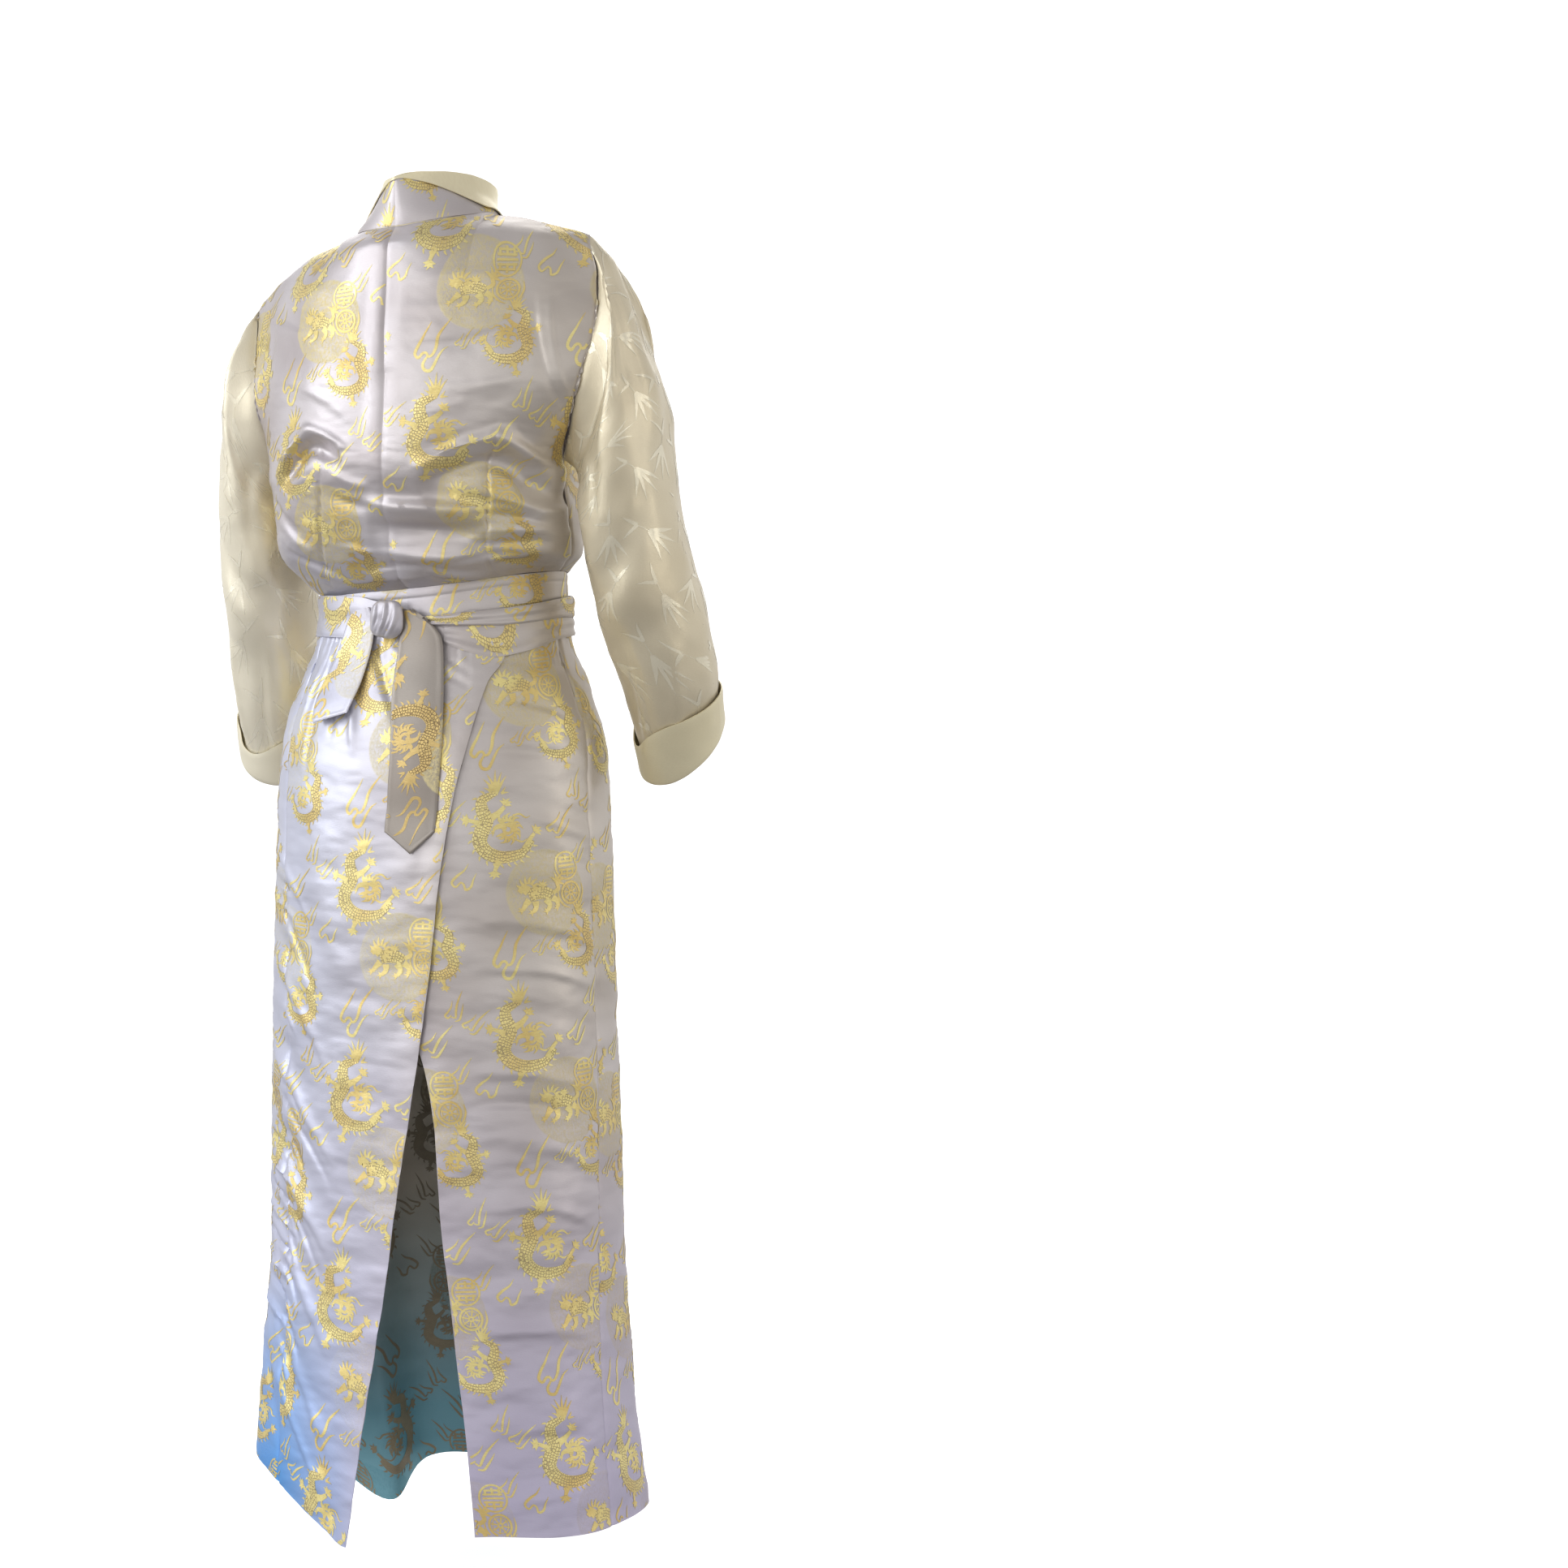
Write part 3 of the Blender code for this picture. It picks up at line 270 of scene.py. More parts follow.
def brocade(name, light, shade, patch_gold, round_gold, light_and_shade=(), roughness=0.36):
    """The brocade's ground: satin whose tone drifts, with fine threads across and the mottled rounds."""
    finish = Finish(name, Metallic=0.50, Specular_IOR_Level=0.5, Sheen_Weight=0.1, Sheen_Roughness=0.35)
    across, down, _ = finish.axes(finish.on_cloth())
    threads = finish.cloud(finish.on_cloth(across=240, down=1500), scale=1.0, detail=1.0)
    drift = finish.cloud(finish.on_cloth(), scale=9.0, detail=1.0).between(0.35, 0.68)
    mottle = finish.cloud(finish.on_cloth(across=1, down=0.7), scale=360.0, detail=3.0, roughness=0.75)
    mottle = mottle.between(0.44, 0.58)
    away_across = ((across - ROUND_GROUND["across"]) / REPEAT_WIDTH + 0.5).maths("FRACT") - 0.5
    away_down = ((down - ROUND_GROUND["down"]) / REPEAT_HEIGHT + 0.5).maths("FRACT") - 0.5
    squared = away_across * away_across * REPEAT_WIDTH**2 + away_down * away_down * REPEAT_HEIGHT**2
    away = squared.maths("SQRT")
    radius = ROUND_GROUND["radius"]
    inside = away.between(radius, radius - 0.002)
    rim = inside * away.between(radius - 0.008, radius - 0.003)
    patches = finish.cloud(finish.on_cloth(), scale=70.0, detail=2.0).between(0.46, 0.60)
    patches = patches * away.between(0.042, 0.016)
    rounds = inside * (0.30 + 0.70 * mottle)
    color = finish.mix(drift, light, shade)
    color = finish.mix((threads - 0.5) * 0.35 + 0.12, color, shade)
    color = finish.mix(rounds * 0.90, color, round_gold)
    color = finish.mix(patches * (0.35 + 0.65 * mottle), color, patch_gold)
    color = finish.mix(rim * 0.5, color, round_gold)
    place = dict(zip(("left", "behind", "up"), finish.on_dress()))
    # Painted light and shade: each tint lays a colour of light or shade over one part of the dress
    for painted_tint in light_and_shade:
        share = painted_tint["strength"]
        for axis, reach in place.items():
            if axis in painted_tint:
                share = reach.between(*painted_tint[axis]) * share
        color = finish.mix(share, color, painted_tint["color"])
    relief = finish.bump(threads * 0.5 + rounds * 0.5, strength=0.35, distance=0.0005)
    finish.wire(
        finish.shader,
        {"Base Color": color, "Roughness": roughness + 0.12 * threads + 0.16 * rounds, "Normal": relief},
    )
    return finish.material


def gold_float(name, bright, dark, scaled=False, metallic=0.6, outline=SCALE_LINE):
    """Gold thread floated over the ground, in level passes, and drawn into scales on a dragon's back."""
    finish = Finish(name, Metallic=metallic, Specular_IOR_Level=0.6)
    passes = finish.cloud(finish.on_cloth(across=180, down=2600), scale=1.0, detail=1.0)
    drift = finish.cloud(finish.on_cloth(), scale=16.0, detail=1.0).between(0.38, 0.66)
    color = finish.mix(drift * 0.75, bright, dark)
    color = finish.mix(passes.between(0.35, 0.75) * 0.5, color, dark)
    height = passes
    if scaled:
        along = finish.node("ShaderNodeUVMap", dict(uv_map="Stroke"), {})
        cells = finish.node(
            "ShaderNodeTexVoronoi",
            dict(feature="DISTANCE_TO_EDGE"),
            {"Vector": along, "Scale": 1 / SCALE_SIZE, "Randomness": 0.45},
        )
        ridge = cells.between(0.05, 0.16)
        color = finish.mix((1 - ridge) * 0.85, color, outline)
        height = ridge + passes * 0.3
    relief = finish.bump(height, strength=0.5, distance=0.0005)
    finish.wire(finish.shader, {"Base Color": color, "Roughness": 0.34 + 0.14 * passes, "Normal": relief})
    return finish.material


BROCADE = brocade("silk_brocade", LILAC, LILAC_SHADE, GROUND_GOLD, ROUND_PALE, PAINTED_LIGHT_OUTSIDE)
BROCADE_DARK_TAIL = brocade("brocade_dark_tail", TAIL_GROUND, TAIL_SHADE, GROUND_GOLD, ROUND_PALE)
BROCADE_BACK = brocade("brocade_back", BACK_GROUND, BACK_SHADE, BACK_GOLD, BACK_GOLD, PAINTED_LIGHT_INSIDE, 0.5)
GOLD_THREAD = gold_float("gold_thread", GOLD, GOLD_SHADE)
GOLD_SCALES = gold_float("gold_scales", GOLD, GOLD_SHADE, scaled=True)
BROWN_THREAD = gold_float("brown_gold_thread", BROWN_GOLD, BROWN_SHADE)
BROWN_SCALES = gold_float("brown_gold_scales", BROWN_GOLD, BROWN_SHADE, scaled=True, outline=DARK_SCALE_LINE)
DULL_THREAD = gold_float("gold_thread_back", DULL_GOLD, DULL_SHADE, metallic=0.1)


# The woven figures
# One repeat holds two scaled dragons, a beast, flame wisps, a fretted disc and a wheel, all woven with gold
# thread. Each is drawn here as strokes: places and widths are in millimetres, right and down from
# the figure's middle.
CURVE_STEP = 2.2
LANE_WIDTH = 3.2
FLOAT_LIFT = 0.00022
STROKE_RISE = 0.00002
STROKE_LAYERS = 7


def smooth(keys, values, at):
    """The value at a key on a smooth curve through all the values, which may be numbers or vectors."""
    last = len(keys) - 1
    if at <= keys[0]:
        return values[0]
    if at >= keys[last]:
        return values[last]
    k = bisect_right(keys, at) - 1

    def slope(i):
        a, b = max(i - 1, 0), min(i + 1, last)
        return (values[b] - values[a]) / (keys[b] - keys[a])

    span = keys[k + 1] - keys[k]
    t = (at - keys[k]) / span
    start = values[k] * (2 * t**3 - 3 * t**2 + 1) + slope(k) * (span * (t**3 - 2 * t**2 + t))
    end = values[k + 1] * (3 * t**2 - 2 * t**3) + slope(k + 1) * (span * (t**3 - t**2))
    return start + end


def steps(first, last, count):
    return [first + (last - first) * k / count for k in range(count + 1)]


class Drawing:
    """Strokes on flat cloth, each a list of places with the stroke's full width at each."""

    def __init__(self):
        self.strokes = []

    def stroke(self, places, widths, scales=False):
        """A smooth line through a few places. The widths are spread evenly along it, in millimetres."""
        places = [Vector(place) for place in places]
        keys = [0.0]
        for a, b in zip(places, places[1:]):
            keys.append(keys[-1] + (b - a).length)
        count = max(2, math.ceil(keys[-1] / CURVE_STEP))
        line = [smooth(keys, places, keys[-1] * k / count) for k in range(count + 1)]
        stops = steps(0, count, len(widths) - 1)
        wide = [float(np.interp(k, stops, widths)) for k in range(count + 1)]
        self.strokes.append(SimpleNamespace(line=line, wide=wide, scales=scales))

    def ring(self, middle, radius, width, sides=20):
        turns = steps(0, 2 * math.pi, sides)
        line = [Vector((middle[0] + radius * math.cos(t), middle[1] + radius * math.sin(t))) for t in turns]
        self.strokes.append(SimpleNamespace(line=line, wide=[width] * len(line), scales=False))

    def fan(self, root, heading, spread, count, length, width, bend=20):
        """Pointed strokes that spread from one root, as a claw, a mane or a flame does."""
        for k in range(count):
            share = k / (count - 1) - 0.5 if count > 1 else 0
            a = math.radians(heading + spread * share)
            b = a + math.radians(bend * (1 if share >= 0 else -1))
            reach = length * (1 - 0.3 * abs(share))
            middle = (root[0] + math.cos(a) * reach * 0.55, root[1] + math.sin(a) * reach * 0.55)
            tip = (middle[0] + math.cos(b) * reach * 0.5, middle[1] + math.sin(b) * reach * 0.5)
            self.stroke([root, middle, tip], [width, width * 0.9, 0.25])

    def add(self, other, middle, size=1.0, turn=0.0, flip=False):
        """Another drawing's strokes, moved, turned and perhaps mirrored."""
        s, c = math.sin(math.radians(turn)), math.cos(math.radians(turn))
        for stroke in other.strokes:
            line = []
            for place in stroke.line:
                x, y = (-place.x if flip else place.x) * size, place.y * size
                line.append(Vector((middle[0] + x * c - y * s, middle[1] + x * s + y * c)))
            wide = [width * size for width in stroke.wide]
            self.strokes.append(SimpleNamespace(line=line, wide=wide, scales=stroke.scales))


def dragon():
    drawing = Drawing()
    back = [
        (5, -35), (-3, -33), (-13, -28), (-14, -17), (-11, -6), (-17, 5), (-21, 17), (-15, 29), (-2, 36),
        (12, 37), (24, 35), (33, 29), (40, 22),
    ]
    drawing.stroke(back, [4, 9, 13, 15.5, 16.5, 16.5, 16, 15.5, 14.5, 13, 11, 8, 4], scales=True)
    body = drawing.strokes[-1]
    for k in range(3, len(body.line) - 2, 3):
        ahead = (body.line[k + 1] - body.line[k - 1]).normalized()
        root = body.line[k] + Vector((-ahead.y, ahead.x)) * (body.wide[k] / 2 + 0.6)
        drawing.fan(root, math.degrees(math.atan2(ahead.x, -ahead.y)) - 32, 0, 1, 5.4, 2.4, bend=-14)
    drawing.fan((4, -35), -92, 66, 5, 25, 3.6, bend=8)
    drawing.fan((-1, -37), -130, 30, 2, 12, 2.4, bend=10)
    drawing.fan((9, -34), -28, 40, 2, 10, 2.4, bend=10)
    for leg, widths, foot, heading in (
        ([(-5, -8), (4, -13), (11, -19)], [8, 6, 4.5], (12, -21), -60),
        ([(-17, -2), (-25, -6), (-30, -8)], [7, 5, 4], (-31, -8), 190),
        ([(29, 30), (36, 20), (42, 14)], [7, 5, 4], (43, 12), -40),
        ([(-2, 40), (-6, 47), (-8, 51)], [7, 5.4, 4], (-8, 52), 100),
    ):
        drawing.stroke(leg, widths)
        drawing.fan(foot, heading, 125, 5, 9.0, 3.8, bend=30)
    for k, heading in enumerate(range(-130, 131, 20)):
        a = math.radians(heading)
        reach = 9 if k % 2 else 12
        drawing.fan((12 + math.cos(a) * 7.5, 6 + math.sin(a) * 8), heading, 0, 1, reach, 3.6, bend=60)
    drawing.ring((12, 6), 5.0, 3.6, 14)
    drawing.stroke([(12, 1), (19, 4), (20, 12)], [5, 7, 4])
    drawing.ring((8.5, 4.5), 1.6, 2.4, 8)
    drawing.stroke([(9, 3), (3, 2), (-3, 4), (-5, 8)], [8, 6, 4.6, 2.0])
    drawing.stroke([(9, 11), (3, 12), (-2, 13)], [5, 3.6, 1.4])
    drawing.fan((-4, 8), 165, 80, 3, 6, 1.7)
    drawing.stroke([(9, -2), (3, -8), (5, -14)], [2.6, 2.2, 0.6])
    drawing.stroke([(19, -8), (27, -9), (34, -4), (39, -6)], [2.2, 2.2, 1.8, 0.5])
    drawing.stroke([(20, 19), (27, 22), (33, 19)], [2.2, 2.2, 0.6])
    return drawing


def beast():
    drawing = Drawing()
    drawing.stroke([(-13, -4), (-5, -6), (4, -5), (11, -2)], [12, 13, 12, 10], scales=True)
    for foot in ([(-13, 0), (-18, 5), (-21, 9)], [(-7, 2), (-7, 8), (-11, 12)], [(4, 1), (8, 7), (5, 12)],
                 [(11, 0), (16, 4), (17, 10)]):
        drawing.stroke(foot, [7, 5.0, 3.6])
        drawing.fan(foot[-1], 165, 80, 3, 5.0, 2.0)
    drawing.stroke([(-13, -8), (-18, -11), (-22, -8)], [9, 8.5, 4.5])
    for heading in range(-160, 61, 27):
        a = math.radians(heading)
        drawing.fan((-13 + math.cos(a) * 5, -10 + math.sin(a) * 5), heading, 0, 1, 8, 2.8, bend=24)
    drawing.fan((1, -11), -80, 110, 5, 7, 2.4)
    drawing.stroke([(12, -4), (18, -8), (16, -15)], [4, 4.4, 3])
    drawing.fan((17, -14), -60, 150, 5, 11, 2.8)
    return drawing


def wisp():
    drawing = Drawing()
    cloud = [
        (2, -29), (-4, -19), (-8, -12), (-14, -3), (-17, 5), (-13, 9), (-8, 4), (-4, 4), (-2, 8), (2, 7),
        (6, 0), (9, -12), (14, -20), (24, -32),
    ]
    drawing.stroke(cloud, [0.5, 1.8, 2.4, 3.2, 3.6, 3.4, 3.0, 2.8, 3.2, 3.6, 3.4, 2.8, 2.0, 0.4])
    tail = [(-3, 8), (-8, 16), (-6, 22), (0, 23), (4, 18), (9, 9), (14, 2), (20, -2)]
    drawing.stroke(tail, [2.2, 3.2, 3.6, 3.6, 3.2, 2.8, 2.0, 0.4])
    return drawing


def flames():
    drawing = Drawing()
    for flame, widths in (
        ([(0, -11), (-4, -4), (-10, 1), (-16, 5), (-13, 9), (-8, 6)], [0.4, 1.7, 2.3, 2.7, 2.6, 1.2]),
        ([(17, -20), (9, -11), (3, -3), (-1, 5), (-4, 11), (-9, 8)], [0.4, 1.8, 2.5, 2.9, 2.8, 1.2]),
        ([(12, -4), (9, 2), (4, 10), (0, 15), (-6, 15)], [0.4, 1.8, 2.5, 2.7, 1.2]),
    ):
        drawing.stroke(flame, widths)
    return drawing


def curl():
    drawing = Drawing()
    line = [
        (7, -15), (3, -8), (-4, -2), (-9, 5), (-5, 9), (0, 4), (3, 6), (5, 11), (10, 8), (12, 1), (15, -6),
    ]
    drawing.stroke(line, [0.3, 1.6, 2.3, 2.7, 2.4, 1.8, 2.0, 2.6, 2.4, 1.6, 0.4])
    return drawing


def fretted_disc():
    drawing = Drawing()
    drawing.ring((0, 0), 14.8, 2.2, 28)
    for x in (-7.6, 0.0, 7.6):
        reach = 0.90 * math.sqrt(13.2**2 - x**2)
        drawing.stroke([(x, -reach), (x, -reach * 0.30)], [2.8, 2.8])
        drawing.stroke([(x, reach * 0.30), (x, reach)], [2.8, 2.8])
    for y in (-8.8, -4.4, 0.0, 4.4, 8.8):
        reach = 0.86 * math.sqrt(13.2**2 - y**2)
        drawing.stroke([(-reach, y), (reach, y)], [2.3, 2.3])
    return drawing


def wheel():
    drawing = Drawing()
    drawing.ring((0, 0), 12, 2.6, 26)
    drawing.ring((0, 0), 8.6, 1.0, 22)
    drawing.ring((0, 0), 2.4, 2.2, 10)
    for spoke in range(8):
        a = math.radians(45 * spoke + 12)
        drawing.stroke([(math.cos(a) * reach, math.sin(a) * reach) for reach in (3, 10)], [1.5, 2.2])
    drawing.stroke([(-17, -5), (-16, 5), (-10, 13), (-2, 17)], [0.8, 2.2, 2.2, 0.8])
    drawing.stroke([(16, -9), (17, 1), (12, 12), (5, 17)], [0.8, 2.2, 2.2, 0.8])
    return drawing


REPEAT = Drawing()
for figure, middle, size, turn, flip in (
    (wisp(), (0, 0), 1.0, 0, False),
    (dragon(), (3, 84), 0.97, 0, False),
    (dragon(), (91, 216), 0.74, 6, True),
    (beast(), (45, 169), 1.15, 0, False),
    (flames(), (37, -8), 0.62, 0, False),
    (curl(), (52, -10), 0.75, 0, False),
    (flames(), (-64, 52), 0.85, -14, False),
    (flames(), (-44, 68), 0.85, 12, False),
    (flames(), (-66, 122), 0.80, 0, False),
    (curl(), (-42, 138), 1.1, 8, False),
    (flames(), (76, 89), 1.05, 6, False),
    (fretted_disc(), (79, 136), 1.0, 0, False),
    (wheel(), (82, 166), 1.0, 0, False),
):
    REPEAT.add(figure, middle, size, turn, flip)


class Motifs:
    """A drawing as flat ribbons in metres, with the size of its repeat."""

    def __init__(self, drawing, width, height, finishes, lift=FLOAT_LIFT):
        self.width, self.height, self.finishes, self.lift = width, height, finishes, lift
        places, strokes, faces, kinds, rises = [], [], [], [], []
        for k, stroke in enumerate(drawing.strokes):
            line, first, gone = stroke.line, len(places), 0.0
            lanes = max(1, round(max(stroke.wide) / LANE_WIDTH))
            for i, place in enumerate(line):
                ahead = (line[min(i + 1, len(line) - 1)] - line[max(i - 1, 0)]).normalized()
                aside = Vector((-ahead.y, ahead.x)) * stroke.wide[i] / 2
                gone += (place - line[i - 1]).length if i else 0
                for side in steps(1, -1, lanes):
                    places.append((place + aside * side) / 1000)
                    strokes.append((gone / 1000, side * stroke.wide[i] / 2000 + k * 0.1))
            for i in range(len(line) - 1):
                for a in range(first + (lanes + 1) * i, first + (lanes + 1) * i + lanes):
                    faces.append((a, a + 1, a + lanes + 2, a + lanes + 1))
                    kinds.append(int(stroke.scales))
            rises += [k % STROKE_LAYERS * STROKE_RISE] * (len(places) - first)
        self.places = np.array([tuple(place) for place in places])
        self.strokes, self.faces, self.kinds = np.array(strokes), np.array(faces), np.array(kinds)
        self.rise = np.array(rises)


GOLD_FIGURES = Motifs(REPEAT, REPEAT_WIDTH, REPEAT_HEIGHT, (GOLD_THREAD, GOLD_SCALES))
BACK_FIGURES = Motifs(REPEAT, REPEAT_WIDTH, REPEAT_HEIGHT, (DULL_THREAD, DULL_THREAD))
UPSIDE_DOWN = Drawing()
UPSIDE_DOWN.add(REPEAT, (0, 0), 1.0, 180)
TURNED_FIGURES = Motifs(UPSIDE_DOWN, REPEAT_WIDTH, REPEAT_HEIGHT, (GOLD_THREAD, GOLD_SCALES))
BROWN_FIGURES = Motifs(UPSIDE_DOWN, REPEAT_WIDTH, REPEAT_HEIGHT, (BROWN_THREAD, BROWN_SCALES))


# The skirt
# A floor-length tube of three brocade panels: the wearer's left back laps over the right back as far as a
# slit near the hem, and the front shows only its inside there. It is gathered into the waist and turned up
# 5.5 cm at the hem.
CLOTH_THICKNESS = 0.0012
HEM_DEPTH = 0.055


def step(low, high, at):
    """0 up to low, 1 from high, and a soft ramp between."""
    t = min(max((at - low) / (high - low), 0), 1)
    return t * t * (3 - 2 * t)


class Table:
    """Rows of named columns, read at any value of the first column along smooth curves."""

    def __init__(self, columns, *rows):
        self.names = columns.split()
        self.rows = sorted(rows)
        self.keys = [row[0] for row in self.rows]
        self.columns = {name: [row[k] for row in self.rows] for k, name in enumerate(self.names)}

    @lru_cache(maxsize=200000)
    def column(self, name, at):
        return smooth(self.keys, self.columns[name], at)

    @lru_cache(maxsize=20000)
    def at(self, key):
        return SimpleNamespace(**{name: self.column(name, key) for name in self.names})


class Cloth:
    """A grid of points with the place of each on the flat cut, measured from a wisp of the woven figures.

    grain is where the straight thread crosses each row, from 0 at its first column to 1 at its last, and
    wisp is how far to the right of the grain, and at what height on it, a wisp of the repeat lies.
    """

    def __init__(self, rows, grain=0.5, wisp=(0.0, 0.0), ring=False):
        self.points = np.array([[tuple(p) for p in (row + row[:1] if ring else row)] for row in rows])
        self.ring = ring
        count = self.points.shape[1]
        grains = np.broadcast_to(np.asarray(grain, float), (len(rows),)) * (count - 1)
        strides = np.linalg.norm(np.diff(self.points, axis=1), axis=2)
        self.across = np.concatenate([np.zeros((len(rows), 1)), np.cumsum(strides, axis=1)], axis=1)
        threads = []
        for r in range(len(rows)):
            self.across[r] -= self.read(self.across[r], grains[r]) + wisp[0]
            threads.append([self.read(self.points[r, :, k], grains[r]) for k in range(3)])
        threads = np.array(threads)
        self.down = np.concatenate([[0], np.cumsum(np.linalg.norm(np.diff(threads, axis=0), axis=1))])
        self.length = self.down[-1]
        self.down -= np.interp(-wisp[1], -threads[:, 2], self.down)
        self.width = float(np.ptp(self.across, axis=1).max())
        self.area = self.measure()
        self.turn_outwards()

    @staticmethod
    def read(values, position):
        """A value at a column that need not be whole, or beyond either end."""
        last = len(values) - 1
        k = int(min(max(math.floor(position), 0), last - 1))
        return values[k] + (values[k + 1] - values[k]) * (position - k)

    def measure(self):
        a, b, c, d = self.points[:-1, :-1], self.points[1:, :-1], self.points[1:, 1:], self.points[:-1, 1:]
        halves = np.cross(b - a, c - a), np.cross(c - a, d - a)
        return float(sum(np.linalg.norm(half, axis=2).sum() for half in halves) / 2)

    def turn_outwards(self):
        """The outward direction at every point."""
        down = np.gradient(self.points, axis=0)
        right = np.gradient(self.points, axis=1)
        if self.ring:
            right[:, 0] = right[:, -1] = (self.points[:, 1] - self.points[:, -2]) / 2
        outwards = np.cross(down, right)
        self.outwards = outwards / np.maximum(np.linalg.norm(outwards, axis=2, keepdims=True), 1e-12)

    def push(self, amount):
        """Moves every point outwards by its own amount."""
        self.points = self.points + self.outwards * amount[:, :, None]
        self.turn_outwards()

    def from_edges(self):
        """The distances along the cloth to its first and last column and its top and bottom row."""
        across = self.across - self.across[:, :1], self.across[:, -1:] - self.across
        down = self.down - self.down[0], self.down[-1] - self.down
        shape = np.ones_like(self.across)
        return across[0], across[1], down[0][:, None] * shape, down[1][:, None] * shape

    def seam(self, edges, depth=0.0016, width=0.0032):
        """Lets the cloth roll into its seams along some of its edges: first, last, top or bottom."""
        roll = np.zeros_like(self.across)
        for name, away in zip(("first", "last", "top", "bottom"), self.from_edges()):
            if name in edges:
                roll = np.maximum(roll, np.exp(-((away / width) ** 2)))
        self.push(-depth * roll)

    def crumple(self, height, size, stretch=1.0, seed=0.0):
        """Faint unevenness all over, as silk has once it is worn."""
        amount = np.zeros_like(self.across)
        for r in range(amount.shape[0]):
            for c in range(amount.shape[1]):
                at = Vector(self.points[r, c]) / size
                amount[r, c] = height * noise.noise(Vector((at.x, at.y, at.z * stretch + seed)))
        self.push(amount)

    def place(self, flat, lift):
        """The points of the cloth at places of the flat cut, with nan where the cut has no cloth."""
        across, down = flat[:, 0], flat[:, 1]
        found = np.full((len(flat), 3), np.nan)
        numbers = np.arange(self.across.shape[1])
        rows = np.searchsorted(self.down, down, side="right") - 1
        for r in np.unique(rows[(rows >= 0) & (rows < len(self.down) - 1)]):
            these = np.nonzero(rows == r)[0]
            share = (down[these] - self.down[r]) / (self.down[r + 1] - self.down[r])
            total = 0
            for row, weight in ((r, 1 - share), (r + 1, share)):
                column = np.interp(across[these], self.across[row], numbers, np.nan, np.nan)
                whole = np.nan_to_num(np.floor(column)).astype(int).clip(0, len(numbers) - 2)
                part = (column - whole)[:, None]
                point = self.points[row][whole] * (1 - part) + self.points[row][whole + 1] * part
                way = self.outwards[row][whole] * (1 - part) + self.outwards[row][whole + 1] * part
                total = total + (point + way * lift[these, None]) * weight[:, None]
            found[these] = total
        return found


def cloth_mesh(name, cloth, finish, inside=None, wall=CLOTH_THICKNESS):
    """A grid shaped to the cloth and given its thickness inwards."""
    rows, columns = cloth.across.shape
    bpy.ops.object.select_all(action="DESELECT")
    bpy.ops.mesh.primitive_grid_add(x_subdivisions=columns - 1, y_subdivisions=rows - 1, size=1)
    made = bpy.context.object
    made.name = made.data.name = name
    mesh = made.data
    mesh.vertices.foreach_set("co", cloth.points.reshape(-1))
    mesh.flip_normals()
    corners = np.zeros(len(mesh.loops), np.int32)
    mesh.loops.foreach_get("vertex_index", corners)
    flat = np.stack([cloth.across, np.broadcast_to(cloth.down[:, None], cloth.across.shape)], axis=2)
    mesh.uv_layers[0].name = "Cloth"
    mesh.uv_layers["Cloth"].data.foreach_set("uv", flat.reshape(-1, 2)[corners].reshape(-1))
    if cloth.ring:
        bpy.ops.object.mode_set(mode="EDIT")
        bpy.ops.mesh.select_all(action="SELECT")
        bpy.ops.mesh.remove_doubles(threshold=1e-6)
        bpy.ops.object.mode_set(mode="OBJECT")
    mesh.materials.append(finish)
    mesh.materials.append(inside or finish)
    thicken = made.modifiers.new("wall", "SOLIDIFY")
    thicken.thickness = wall
    thicken.offset = -1
    thicken.material_offset = 1
    bpy.ops.object.modifier_apply(modifier="wall")
    bpy.ops.object.shade_smooth_by_angle(angle=math.radians(50))
    return made


def woven(name, cloth, motifs, inside=False):
    """The ribbons of a repeat, laid over a cloth wherever the cut has cloth for them."""
    (left, top), (right, low) = motifs.places.min(0), motifs.places.max(0)
    first, last = (cloth.across.min() - right) / motifs.width, (cloth.across.max() - left) / motifs.width
    highest, lowest = (cloth.down[0] - low) / motifs.height, (cloth.down[-1] - top) / motifs.height
    flats, faces, kinds, strokes = [], [], [], []
    for i in range(math.floor(first), math.ceil(last) + 1):
        for j in range(math.floor(highest), math.ceil(lowest) + 1):
            faces.append(motifs.faces + len(flats) * len(motifs.places))
            flats.append(motifs.places + (i * motifs.width, j * motifs.height))
            kinds.append(motifs.kinds)
            strokes.append(motifs.strokes)
    flat, faces, kinds, strokes = map(np.concatenate, (flats, faces, kinds, strokes))
    lift = np.tile(motifs.lift + motifs.rise, len(flats))
    if inside:
        lift = -(CLOTH_THICKNESS + lift)
    points = cloth.place(flat, lift)
    kept = ~np.isnan(points).any(axis=1)[faces].any(axis=1)
    faces, kinds = faces[kept], kinds[kept]
    used, renamed = np.unique(faces, return_inverse=True)
    faces = renamed.reshape(faces.shape)
    if inside:
        faces = faces[:, ::-1]
    mesh = bpy.data.meshes.new(name)
    mesh.from_pydata([tuple(p) for p in points[used]], [], [tuple(map(int, face)) for face in faces])
    for layer, values in (("Cloth", flat[used]), ("Stroke", strokes[used])):
        uv = mesh.uv_layers.new(name=layer)
        uv.data.foreach_set("uv", values[faces.reshape(-1)].reshape(-1))
    mesh.polygons.foreach_set("material_index", kinds.astype(np.int32))
    for finish in motifs.finishes:
        mesh.materials.append(finish)
    mesh.shade_smooth()
    made = bpy.data.objects.new(name, mesh)
    bpy.context.scene.collection.objects.link(made)
    return made


def sewn(node, cloth, made, figures=()):
    """A cut piece and the figures on it, in place of its solid."""
    for piece in (made, *figures):
        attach(piece, "root")
    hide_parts(node)
    area = min(cloth.area, cloth.width * cloth.length)


def shares(count):
    """Even shares from 0 to 1, with two more close to each end for the roll of a seam."""
    near = (0.10 / count, 0.35 / count)
    return sorted({0, *near, *steps(0, 1, count)[1:-1], *(1 - share for share in near), 1})


